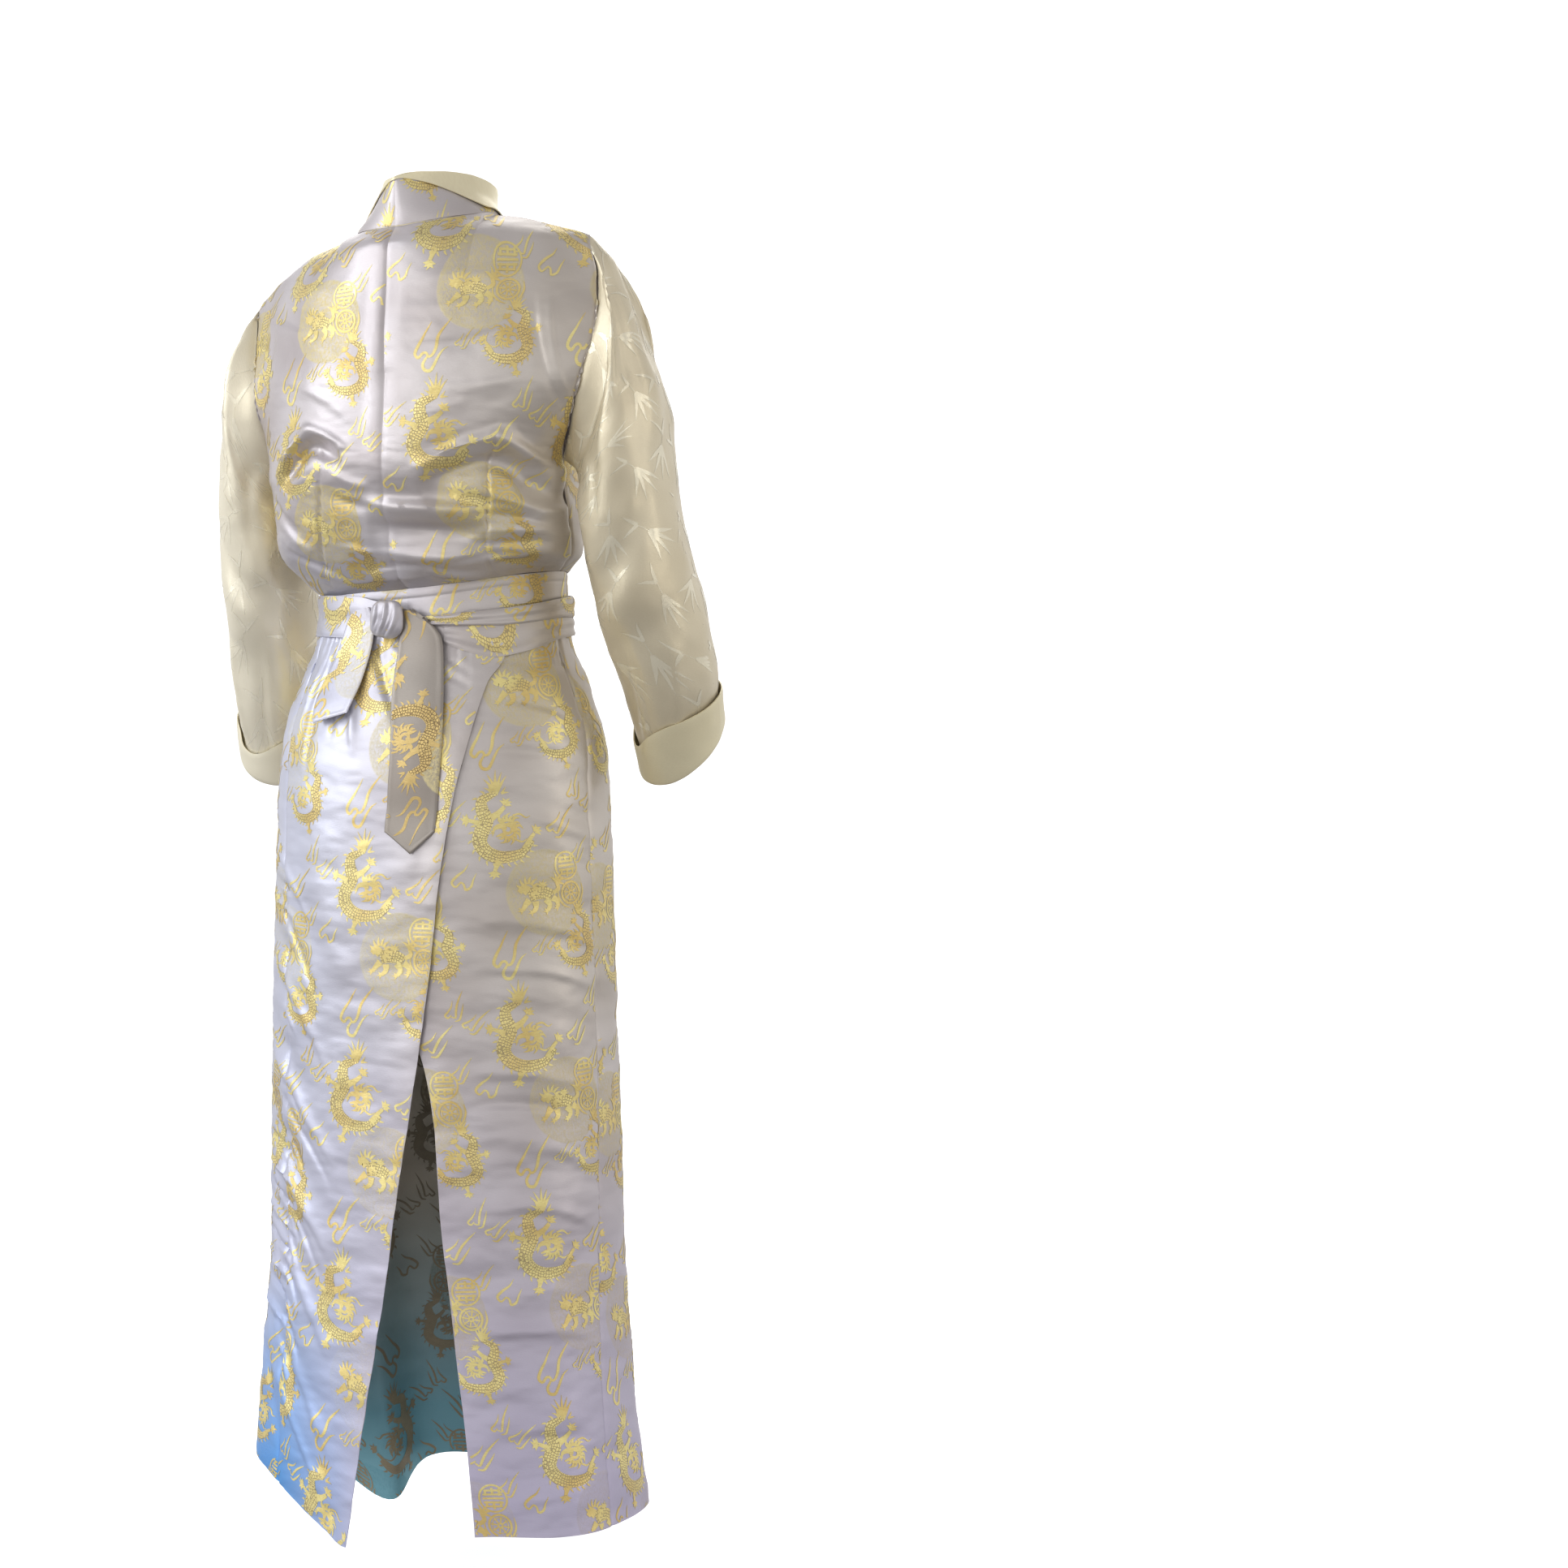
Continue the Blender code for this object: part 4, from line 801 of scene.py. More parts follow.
def creases(table, across, up):
    """How far soft folds move the cloth at each point. Each is bowed, and steeper on one side."""
    total = np.zeros_like(across)
    for x0, y0, x1, y1, width, depth, bow in table:
        length = math.hypot(x1 - x0, y1 - y0)
        along = ((across - x0) * (x1 - x0) + (up - y0) * (y1 - y0)) / length**2
        aside = ((up - y0) * (x1 - x0) - (across - x0) * (y1 - y0)) / length - bow * 4 * along * (1 - along)
        wide = np.where(aside > 0, 1.5 * width, 0.75 * width)
        fade = np.sin(np.pi * along.clip(0, 1)) ** 0.7
        total += depth * fade * np.exp(-((aside / wide) ** 2))
    return total


SKIRT = Table(
    "z centre_x centre_y half back front",
    (-1.440, -0.006, -0.060, 0.219, 0.203, 0.193),
    (-1.404, -0.006, -0.060, 0.217, 0.200, 0.190),
    (-1.318, 0.000, -0.058, 0.213, 0.190, 0.180),
    (-1.225, 0.003, -0.057, 0.2075, 0.180, 0.170),
    (-1.141, 0.002, -0.055, 0.2015, 0.172, 0.160),
    (-0.993, 0.003, -0.052, 0.199, 0.164, 0.150),
    (-0.810, 0.003, -0.050, 0.195, 0.158, 0.140),
    (-0.682, 0.002, -0.050, 0.1915, 0.156, 0.134),
    (-0.591, 0.002, -0.050, 0.188, 0.150, 0.130),
    (-0.537, 0.002, -0.050, 0.183, 0.140, 0.124),
    (-0.487, 0.002, -0.050, 0.166, 0.124, 0.116),
    (-0.446, 0.002, -0.050, 0.148, 0.108, 0.108),
    (-0.410, 0.001, -0.048, 0.142, 0.098, 0.100),
    (-0.340, 0.002, -0.045, 0.142, 0.097, 0.100),
)
HEM = Table(
    "angle z",
    (-180, -1.402),
    (-150, -1.402),
    (-128, -1.440),
    (-112, -1.395),
    (-90, -1.340),
    (-60, -1.345),
    (-41, -1.365),
    (-26, -1.388),
    (-18, -1.402),
    (-9, -1.417),
    (26, -1.399),
    (53, -1.405),
    (90, -1.405),
    (130, -1.404),
    (180, -1.402),
)
FLUTES = (
    dict(angle=-132, width=13, start=-1.02, depth=-0.060),
    dict(angle=-104, width=14, start=-0.95, depth=0.010),
    dict(angle=152, width=16, start=-0.90, depth=0.014),
    dict(angle=178, width=13, start=-0.95, depth=-0.012),
    dict(angle=118, width=12, start=-1.00, depth=-0.008),
    dict(angle=-58, width=10, start=-1.05, depth=0.007),
    dict(angle=62, width=12, start=-1.05, depth=0.006),
)
SKIRT_FOLDS = (
    dict(start=(-62, -0.84), end=(-22, -0.95), width=0.016, depth=-0.0045),
    dict(start=(-64, -0.93), end=(-18, -1.06), width=0.018, depth=-0.0050),
    dict(start=(-60, -1.03), end=(-22, -1.16), width=0.018, depth=-0.0045),
    dict(start=(-66, -0.74), end=(-30, -0.80), width=0.014, depth=-0.0035),
    dict(start=(-58, -1.13), end=(-20, -1.29), width=0.020, depth=-0.0050),
    dict(start=(20, -0.60), end=(84, -0.64), width=0.020, depth=-0.0030),
    dict(start=(30, -0.70), end=(88, -0.74), width=0.022, depth=-0.0030),
)
OVER_EDGE = Table(
    "z angle",
    (-0.380, 52),
    (-0.451, 44),
    (-0.480, 34),
    (-0.548, 25),
    (-0.670, 17.4),
    (-0.793, 13.5),
    (-0.890, 9.7),
    (-1.040, 3.6),
    (-1.138, 0.6),
    (-1.235, -2.0),
    (-1.420, -9.5),
)
UNDER_EDGE = Table(
    "z angle",
    (-0.380, -40),
    (-0.700, -14),
    (-0.889, 11),
    (-1.082, 17.2),
    (-1.187, 21),
    (-1.300, 24.5),
    (-1.420, 25.8),
)
LEFT_SEAM = Table("z angle", (-0.400, -56), (-0.740, -45.6), (-0.893, -43.4), (-1.420, -41))
RIGHT_SEAM = Table("z angle", (-0.400, 84), (-0.620, 80), (-0.800, 82), (-0.980, 82), (-1.420, 74))
WAISTBAND_TOP = Table(
    "angle z",
    (-180, -0.374),
    (-135, -0.382),
    (-90, -0.387),
    (-45, -0.386),
    (0, -0.378),
    (45, -0.3645),
    (90, -0.359),
    (135, -0.365),
    (180, -0.374),
)
WAISTBAND_HEIGHT = 0.036
OVER_LAYER = 0.0022
FREE_EDGE_LIFT = 0.003
ROUNDNESS = 2 / 2.2
FOLD_RADIUS = 0.175
CREASE_RADIUS = 0.19
CREASE_WIDTH = 0.75
CREASE_DEPTH = 1.25
GATHER_REACH = 0.05
GATHER_DEPTH = 0.0008
HEM_STEP = 0.0006
HEM_SOFTNESS = 0.0012
# Where the straight thread runs down each back, the left one first
LEFT_GRAIN = Table(
    "z angle",
    (-0.400, -7.6),
    (-0.626, -8.2),
    (-0.840, -9.4),
    (-1.045, -13.7),
    (-1.250, -17.5),
    (-1.450, -21.0),
)
RIGHT_GRAIN = Table(
    "z angle",
    (-0.400, 26.0),
    (-0.555, 32.0),
    (-0.775, 40.7),
    (-0.996, 48.0),
    (-1.218, 53.7),
    (-1.450, 58.5),
)
# Smaller creases: the angle and height of each end, the width, the depth, out or in, and the bow
SKIRT_CREASES = (
    (-60, -0.70, -24, -0.83, 0.007, -0.0022, 0.010),
    (-58, -0.78, -20, -0.90, 0.008, 0.0022, 0.012),
    (-62, -0.88, -16, -1.01, 0.008, 0.0022, 0.012),
    (-60, -0.99, -18, -1.11, 0.008, 0.0024, 0.012),
    (-56, -1.08, -16, -1.22, 0.009, 0.0024, 0.012),
    (-52, -1.17, -14, -1.33, 0.009, 0.0020, 0.010),
    (-60, -0.66, -30, -0.74, 0.006, 0.0018, 0.008),
    (-52, -0.93, -18, -1.03, 0.005, -0.0020, 0.010),
    (-50, -1.03, -22, -1.135, 0.005, -0.0020, 0.010),
    (-48, -1.24, -20, -1.36, 0.006, 0.0020, 0.008),
    (-60, -1.20, -40, -1.34, 0.008, -0.0026, 0.008),
    (-62, -0.985, -38, -1.005, 0.0035, -0.0030, 0.003),
    (-64, -1.010, -36, -1.035, 0.0035, 0.0032, 0.003),
    (-62, -1.035, -38, -1.062, 0.0035, -0.0034, 0.003),
    (-64, -1.062, -36, -1.092, 0.0035, 0.0034, 0.003),
    (-62, -1.088, -37, -1.118, 0.0035, -0.0034, 0.003),
    (-64, -1.112, -38, -1.145, 0.0035, 0.0032, 0.003),
    (-62, -1.140, -36, -1.172, 0.0035, -0.0032, 0.003),
    (-64, -1.166, -38, -1.200, 0.0035, 0.0030, 0.003),
    (-60, -0.700, -40, -0.716, 0.0035, -0.0026, 0.003),
    (-60, -0.722, -38, -0.742, 0.0035, 0.0026, 0.003),
    (-46, -0.84, -36, -0.87, 0.004, 0.0018, 0.003),
    (-46, -1.00, -37, -1.035, 0.004, 0.0020, 0.003),
    (-46, -1.08, -35, -1.13, 0.004, 0.0022, 0.003),
    (-46, -1.15, -34, -1.20, 0.004, 0.0022, 0.003),
    (-46, -1.21, -36, -1.26, 0.004, 0.0020, 0.003),
    (-56, -1.02, -48, -1.06, 0.004, 0.0022, 0.003),
    (-56, -1.10, -47, -1.14, 0.004, 0.0022, 0.003),
    (-56, -1.17, -47, -1.21, 0.004, 0.0022, 0.003),
    (30, -0.555, 80, -0.575, 0.007, -0.0020, 0.008),
    (34, -0.665, 84, -0.69, 0.008, -0.0018, 0.010),
    (26, -0.79, 80, -0.815, 0.007, 0.0018, 0.010),
    (22, -0.905, 74, -0.925, 0.009, 0.0020, 0.012),
    (24, -0.94, 66, -0.952, 0.006, -0.0020, 0.010),
    (30, -1.05, 76, -1.075, 0.008, 0.0018, 0.012),
    (26, -1.19, 72, -1.195, 0.008, 0.0018, 0.010),
    (30, -1.31, 70, -1.305, 0.008, -0.0016, 0.008),
    (-44, -1.05, -34, -1.10, 0.005, -0.0020, 0.003),
    (-44, -1.12, -33, -1.17, 0.005, -0.0022, 0.003),
    (-44, -1.18, -31, -1.23, 0.005, -0.0020, 0.003),
    (-43, -0.92, -33, -0.96, 0.005, -0.0018, 0.003),
    (-43, -0.98, -32, -1.02, 0.005, -0.0018, 0.003),
    (-30, -0.45, -22, -0.54, 0.005, -0.0030, 0.004),
    (-22, -0.45, -12, -0.56, 0.006, 0.0030, 0.004),
    (-14, -0.44, 2, -0.53, 0.006, -0.0034, 0.006),
    (-6, -0.44, 10, -0.50, 0.005, 0.0026, 0.004),
    (-36, -0.45, -34, -0.58, 0.006, -0.0026, 0.003),
    (-43, -0.45, -42, -0.56, 0.006, 0.0024, 0.002),
    (14, -0.455, 28, -0.472, 0.0035, -0.0018, 0.003),
    (13, -0.472, 27, -0.484, 0.0035, -0.0018, 0.003),
    (28, -0.62, 82, -0.655, 0.010, 0.0020, 0.010),
    (30, -0.735, 84, -0.775, 0.012, 0.0022, 0.012),
    (24, -0.84, 78, -0.86, 0.014, -0.0022, 0.012),
    (22, -0.97, 76, -1.01, 0.016, 0.0018, 0.014),
    (20, -1.13, 72, -1.14, 0.018, -0.0018, 0.012),
    (24, -1.26, 66, -1.24, 0.016, 0.0016, 0.010),
    (40, -0.50, 72, -0.52, 0.007, -0.0022, 0.006),
    (80.9, -0.435, 82.1, -0.524, 0.003, -0.0020, 0.0),
    (100, -0.50, 150, -0.60, 0.018, -0.0030, 0.02),
    (110, -0.66, 170, -0.74, 0.020, 0.0030, 0.02),
    (190, -0.52, 250, -0.66, 0.018, -0.0030, -0.02),
    (186, -0.70, 262, -0.84, 0.020, 0.0030, -0.02),
    (120, -0.92, 200, -1.00, 0.022, -0.0028, 0.02),
    (216, -1.00, 290, -0.94, 0.022, -0.0028, 0.02),
)


def power(value, exponent):
    return math.copysign(abs(value) ** exponent, value)


def turned(angle):
    """The same angle between -180 and 180."""
    return (angle + 180) % 360 - 180


def folds_at(folds, across, up):
    """How far the folds of a table move the cloth at a place, out or in."""
    total = 0.0
    for fold in folds:
        (x0, y0), (x1, y1) = fold["start"], fold["end"]
        run, rise = x1 - x0, y1 - y0
        t = ((across - x0) * run + (up - y0) * rise) / (run**2 + rise**2)
        if 0 < t < 1:
            off = math.hypot(across - x0 - run * t, up - y0 - rise * t)
            total += fold["depth"] * math.sin(math.pi * t) * math.exp(-((off / fold["width"]) ** 2))
    return total


def scaled(folds, across, up):
    """The same folds with their places in other units."""
    return tuple(
        dict(
            start=(fold["start"][0] * across, fold["start"][1] * up),
            end=(fold["end"][0] * across, fold["end"][1] * up),
            width=fold["width"],
            depth=fold["depth"],
        )
        for fold in folds
    )


WIDE_FOLDS = scaled(SKIRT_FOLDS, math.radians(FOLD_RADIUS), 1)


def skirt_point(angle, z, out=0.0):
    """A place on the skirt, with its flutes and folds."""
    section = SKIRT.at(z)
    angle = turned(angle)
    out += folds_at(WIDE_FOLDS, math.radians(angle) * FOLD_RADIUS, z)
    for flute in FLUTES:
        away = turned(angle - flute["angle"]) / flute["width"]
        if z < flute["start"]:
            grown = ((flute["start"] - z) / (flute["start"] - HEM.column("z", flute["angle"]))) ** 1.5
            out += flute["depth"] * grown * math.exp(-(away**2))
    s, c = math.sin(math.radians(angle)), math.cos(math.radians(angle))
    depth = section.back if c > 0 else section.front
    return Vector(
        (
            section.centre_x - (section.half + out) * power(s, ROUNDNESS),
            section.centre_y + (depth + out) * power(c, ROUNDNESS),
            z,
        )
    )


def over_layer(angle, z):
    """How far the overlapping back lies above the panel under it, and how its free edge lifts."""
    edge, under = OVER_EDGE.column("angle", z), UNDER_EDGE.column("angle", z)
    covered = step(min(under, edge) - 22, min(under, edge) - 8, angle)
    lift = step(edge - 8, edge, angle) * step(0.45, 0.60, -z)
    return OVER_LAYER * covered + FREE_EDGE_LIFT * lift


def edge_of(table):
    return lambda z: table.column("angle", z)


def skirt_panel(node, first, last, columns, rows, rolled, grain, wisp, out=None, inside=None):
    """A skirt panel between two edges, each an angle by height, hemmed and set into the waistband."""
    grid, angles = [], []
    for v in shares(rows):
        row = []
        for u in shares(columns):
            waist_angle = first(-0.40) + (last(-0.40) - first(-0.40)) * u
            hem_angle = first(-1.42) + (last(-1.42) - first(-1.42)) * u
            top = WAISTBAND_TOP.column("z", turned(waist_angle)) - WAISTBAND_HEIGHT
            z = top + (HEM.column("z", turned(hem_angle)) - top) * v
            angle = first(z) + (last(z) - first(z)) * u
            angles.append(angle)
            row.append(skirt_point(angle, z, out(angle, z) if out else 0.0))
        grid.append(row)
    grain_share = [(grain(z) - first(z)) / (last(z) - first(z)) for z in (row[0].z for row in grid)]
    cloth = Cloth(grid, grain_share, wisp)
    angles = np.array(angles).reshape(cloth.across.shape)
    heights = cloth.points[:, :, 2]
    fine = []
    for a, y0, b, y1, width, depth, bow in SKIRT_CREASES:
        x0, x1 = math.radians(a) * CREASE_RADIUS, math.radians(b) * CREASE_RADIUS
        fine.append((x0, y0, x1, y1, CREASE_WIDTH * width, CREASE_DEPTH * depth, bow))
    _, _, top, bottom = cloth.from_edges()
    amount = sum(creases(fine, np.radians(angles - turn) * CREASE_RADIUS, heights) for turn in (0, 360))
    gathers = np.sin(angles * 2.1 + 3 * np.sin(angles * 0.37)) * np.exp(-((top / GATHER_REACH) ** 2))
    gathers = gathers * np.minimum(top / 0.006, 1)
    hem = HEM_STEP / (1 + np.exp((bottom - HEM_DEPTH) / HEM_SOFTNESS))
    cloth.push((amount + GATHER_DEPTH * gathers) * np.minimum(bottom / 0.02 + 0.4, 1) + hem)
    cloth.crumple(height=0.0018, size=0.055, stretch=2.2, seed=7)
    cloth.crumple(height=0.0006, size=0.020, stretch=3.5, seed=3)
    cloth.seam(rolled)
    made = cloth_mesh(f"{node}_cloth", cloth, BROCADE, inside)
    figures = [woven(f"{node}_figures", cloth, GOLD_FIGURES)]
    if inside:
        figures.append(woven(f"{node}_reverse", cloth, BACK_FIGURES, inside=True))
    sewn(node, cloth, made, figures)


over, under, left_seam, right_seam = map(edge_of, (OVER_EDGE, UNDER_EDGE, LEFT_SEAM, RIGHT_SEAM))
left_grain, right_grain = map(edge_of, (LEFT_GRAIN, RIGHT_GRAIN))
skirt_panel("skirt_back_left", left_seam, over, 84, 290, ("first",), left_grain, (0.0, -0.840), over_layer)
skirt_panel("skirt_back_right", under, right_seam, 96, 280, ("last",), right_grain, (0.0, -0.775))
skirt_panel(
    "skirt_front", right_seam, lambda z: left_seam(z) + 360, 132, 216, ("first", "last"), lambda z: 180,
    (0.0, -0.800), inside=BROCADE_BACK,
)


# The waistband
# A straight double strip of the brocade 3.6 cm deep, sewn between the bodice and the skirt, with a row of
# stitching below its top edge.
STITCHES_DOWN = 0.011
STITCHES_DEPTH = 0.0007
STITCHES_WIDTH = 0.0011

rows = []
for share in (0, 0.03, 0.12, 0.2, 0.27, 0.30, 0.33, 0.4, 0.55, 0.7, 0.85, 0.97, 1):
    heights = [(angle, WAISTBAND_TOP.column("z", turned(angle))) for angle in steps(0, 360, 170)[:-1]]
    rows.append([skirt_point(angle, top - WAISTBAND_HEIGHT * share) for angle, top in heights])
waistband = Cloth(rows, 0.0, (0.045, -0.40), ring=True)
_, _, from_top, _ = waistband.from_edges()
waistband.push(-STITCHES_DEPTH * np.exp(-(((from_top - STITCHES_DOWN) / STITCHES_WIDTH) ** 2)))
waistband.crumple(height=0.0007, size=0.02, stretch=0.5, seed=11)
waistband.seam(("top", "bottom"), depth=0.0008, width=0.002)
made = cloth_mesh("waistband_cloth", waistband, BROCADE)
figures = [woven("waistband_figures", waistband, GOLD_FIGURES)]
sewn("waistband", waistband, made, figures)


# The bodice
# Two brocade backs with a centre back seam and a waist dart each, and two plain fronts crossed left over
# right in a V. They are sewn at the sides and shoulders and blouse a little over the waistband.
BACK = Table(
    "up mid_x mid_y mid_z right_x right_y right_z left_x left_y left_z soft",
    (0.00, 0.002, 0.052, -0.378, -0.140, -0.045, -0.359, 0.144, -0.045, -0.387, 0.91),
    (0.05, 0.002, 0.070, -0.366, -0.151, -0.030, -0.352, 0.156, -0.030, -0.372, 0.91),
    (0.13, 0.002, 0.091, -0.343, -0.166, -0.015, -0.338, 0.175, -0.015, -0.345, 0.91),
    (0.24, 0.000, 0.105, -0.311, -0.171, 0.000, -0.306, 0.174, 0.000, -0.315, 0.91),
    (0.40, -0.003, 0.120, -0.266, -0.168, 0.008, -0.264, 0.177, 0.000, -0.270, 0.91),
    (0.45, -0.004, 0.123, -0.256, -0.167, 0.009, -0.256, 0.180, -0.003, -0.262, 0.91),
    (0.52, -0.005, 0.126, -0.235, -0.167, 0.012, -0.238, 0.185, -0.008, -0.245, 1.0),
    (0.68, -0.006, 0.122, -0.165, -0.205, 0.060, -0.160, 0.199, 0.020, -0.175, 1.8),
    (0.80, -0.004, 0.117, -0.105, -0.220, 0.047, -0.092, 0.207, 0.005, -0.122, 2.0),
    (0.90, -0.002, 0.105, -0.048, -0.215, 0.031, -0.042, 0.213, -0.012, -0.080, 2.1),
)
FRONT = Table(
    "up mid_x mid_y mid_z right_x right_y right_z left_x left_y left_z soft",
    (0.00, 0.002, -0.145, -0.372, -0.140, -0.045, -0.359, 0.144, -0.045, -0.387, 0.91),
    (0.05, 0.002, -0.150, -0.362, -0.151, -0.030, -0.352, 0.156, -0.030, -0.372, 0.91),
    (0.13, 0.002, -0.154, -0.342, -0.166, -0.015, -0.338, 0.175, -0.015, -0.345, 0.91),
    (0.24, 0.002, -0.152, -0.311, -0.171, 0.000, -0.306, 0.174, 0.000, -0.315, 0.91),
    (0.40, 0.002, -0.154, -0.262, -0.168, 0.008, -0.264, 0.177, 0.000, -0.270, 0.88),
    (0.45, 0.002, -0.155, -0.250, -0.167, 0.009, -0.256, 0.180, -0.003, -0.262, 0.87),
    (0.52, 0.002, -0.155, -0.225, -0.167, 0.012, -0.238, 0.185, -0.008, -0.245, 0.86),
    (0.58, 0.002, -0.152, -0.200, -0.171, -0.010, -0.212, 0.187, -0.038, -0.220, 1.0),
    (0.68, 0.002, -0.146, -0.160, -0.178, -0.035, -0.165, 0.190, -0.072, -0.175, 1.3),
    (0.80, 0.002, -0.130, -0.110, -0.188, -0.046, -0.100, 0.197, -0.083, -0.122, 1.6),
    (0.90, 0.002, -0.112, -0.060, -0.202, -0.020, -0.042, 0.207, -0.063, -0.082, 2.0),
)
SHOULDER_TIP = {"right": Vector((-0.200, 0.013, 0.003)), "left": Vector((0.213, -0.030, -0.055))}
SHOULDER_CROWN = {"right": 0.003, "left": 0.010}
BODICE_FOLDS = (
    dict(start=(0.128, -0.262), end=(0.090, -0.212), width=0.011, depth=-0.0060),
    dict(start=(0.094, -0.212), end=(0.046, -0.232), width=0.010, depth=-0.0050),
    dict(start=(-0.048, -0.240), end=(-0.128, -0.212), width=0.012, depth=-0.0060),
    dict(start=(-0.120, -0.212), end=(-0.174, -0.282), width=0.012, depth=-0.0050),
    dict(start=(0.012, -0.276), end=(-0.150, -0.286), width=0.011, depth=-0.0050),
    dict(start=(-0.010, 0.000), end=(-0.004, -0.270), width=0.008, depth=-0.0030),
    dict(start=(0.070, -0.352), end=(-0.060, -0.350), width=0.008, depth=-0.0040),
    dict(start=(-0.060, -0.318), end=(-0.166, -0.300), width=0.009, depth=-0.0040),
    dict(start=(0.160, -0.300), end=(0.100, -0.330), width=0.010, depth=-0.0035),
)
COLLAR = Table(
    "level centre_y half back front point",
    (0.0, -0.017, 0.079, 0.095, 0.090, 1.00),
    (0.5, -0.030, 0.064, 0.108, 0.076, 1.18),
    (1.0, -0.050, 0.057, 0.128, 0.060, 1.38),
)
COLLAR_HEIGHTS = Table(
    "angle seam top",
    (-150, -0.045, 0.030),
    (-120, -0.018, 0.042),
    (-88, 0.012, 0.052),
    (-45, 0.010, 0.060),
    (0, 0.013, 0.064),
    (30, 0.020, 0.071),
    (60, 0.028, 0.073),
    (88, 0.031, 0.066),
    (120, 0.006, 0.058),
    (150, -0.035, 0.040),
)
FRONT_START = Table("up turn", (0.00, -36), (0.30, -18), (0.52, 0), (0.70, 8), (0.82, 14))
FRONT_EDGE = Table(
    "share x y z",
    (0.00, 0.002, -0.155, -0.225),
    (0.55, 0.030, -0.133, -0.120),
    (1.00, 0.051, -0.086, -0.033),
)
UNDERARM = 0.52
ARMHOLE_STEPS = 12
BELOW_ARMHOLE = (0.437, 0.354, 0.270, 0.198, 0.135, 0.083, 0.042, 0.0)
NECK_STEPS = 5
NECK_SHARE = 0.25
NECK_SIDE = 88
COLLAR_END = 140
SETTLE = 0.24
SHOULDER_ROUNDING = 0.16
FRONT_LAYER = 0.0030
# Smaller creases of the back: the x and z of each end, the width, the depth and the bow
BACK_CREASES = (
    (-0.040, -0.250, -0.146, -0.209, 0.0075, 0.0090, -0.006),
    (-0.044, -0.276, -0.142, -0.234, 0.0120, -0.0130, -0.007),
    (-0.120, -0.207, -0.174, -0.268, 0.0075, 0.0080, -0.006),
    (-0.122, -0.232, -0.168, -0.290, 0.0110, -0.0110, -0.005),
    (0.144, -0.258, 0.084, -0.202, 0.0050, 0.0060, -0.006),
    (0.136, -0.270, 0.086, -0.221, 0.0070, -0.0095, -0.006),
    (0.100, -0.202, 0.038, -0.228, 0.0050, 0.0060, -0.005),
    (0.098, -0.220, 0.044, -0.244, 0.0070, -0.0095, -0.004),
    (0.024, -0.284, -0.114, -0.292, 0.0070, 0.0080, 0.002),
    (0.020, -0.311, -0.106, -0.318, 0.0110, -0.0115, 0.002),
    (0.014, -0.340, -0.112, -0.342, 0.0065, 0.0060, 0.002),
    (-0.030, -0.354, -0.100, -0.364, 0.0050, 0.0045, 0.003),
    (-0.036, -0.364, -0.096, -0.373, 0.0050, -0.0050, 0.003),
    (-0.172, -0.300, -0.100, -0.276, 0.0045, 0.0032, 0.003),
    (-0.172, -0.310, -0.090, -0.298, 0.0045, -0.0034, 0.003),
    (-0.172, -0.318, -0.090, -0.316, 0.0045, 0.0032, 0.002),
    (-0.168, -0.328, -0.090, -0.334, 0.0045, -0.0034, 0.002),
    (-0.166, -0.336, -0.095, -0.348, 0.0045, 0.0032, 0.002),
    (0.072, -0.244, 0.096, -0.380, 0.0020, -0.0036, 0.000),
    (-0.127, -0.198, -0.099, -0.371, 0.0020, -0.0036, 0.000),
    (0.160, -0.276, 0.112, -0.316, 0.0045, -0.0031, 0.004),
    (0.150, -0.300, 0.096, -0.338, 0.0045, 0.0029, 0.004),
    (0.060, -0.250, 0.012, -0.268, 0.0045, 0.0026, 0.003),
    (0.064, -0.276, 0.008, -0.290, 0.0053, -0.0031, 0.003),
    (0.060, -0.330, 0.010, -0.340, 0.0045, 0.0026, 0.002),
    (0.020, -0.010, 0.018, -0.262, 0.0090, -0.0022, 0.000),
    (-0.010, -0.010, -0.006, -0.262, 0.0060, 0.0012, 0.000),
    (0.030, -0.200, 0.160, -0.150, 0.0067, 0.0024, 0.012),
    (0.050, -0.130, 0.176, -0.080, 0.0067, -0.0022, 0.010),
    (-0.030, -0.120, -0.170, -0.084, 0.0067, -0.0024, 0.010),
    (-0.060, -0.160, -0.176, -0.140, 0.0060, 0.0022, 0.010),
    (-0.030, -0.040, -0.150, -0.030, 0.0060, 0.0019, 0.006),
    (-0.020, -0.190, -0.100, -0.176, 0.0045, 0.0014, 0.004),
    (-0.030, -0.075, -0.130, -0.066, 0.0045, 0.0012, 0.004),
    (0.040, -0.092, 0.150, -0.070, 0.0045, 0.0012, 0.004),
    (0.036, -0.176, 0.120, -0.158, 0.0045, -0.0014, 0.004),
    (0.150, -0.330, 0.070, -0.362, 0.0037, -0.0026, 0.003),
    (0.130, -0.346, 0.050, -0.372, 0.0037, 0.0022, 0.003),
    (-0.140, -0.338, -0.060, -0.350, 0.0030, -0.0026, 0.002),
    (-0.030, -0.352, 0.040, -0.360, 0.0030, -0.0020, 0.002),
    (-0.020, -0.366, 0.060, -0.372, 0.0030, 0.0019, 0.002),
    (-0.160, -0.060, -0.192, -0.190, 0.0037, -0.0022, 0.004),
    (-0.176, -0.060, -0.200, -0.180, 0.0030, 0.0017, 0.004),
    (0.160, -0.080, 0.185, -0.200, 0.0045, -0.0022, -0.006),
)


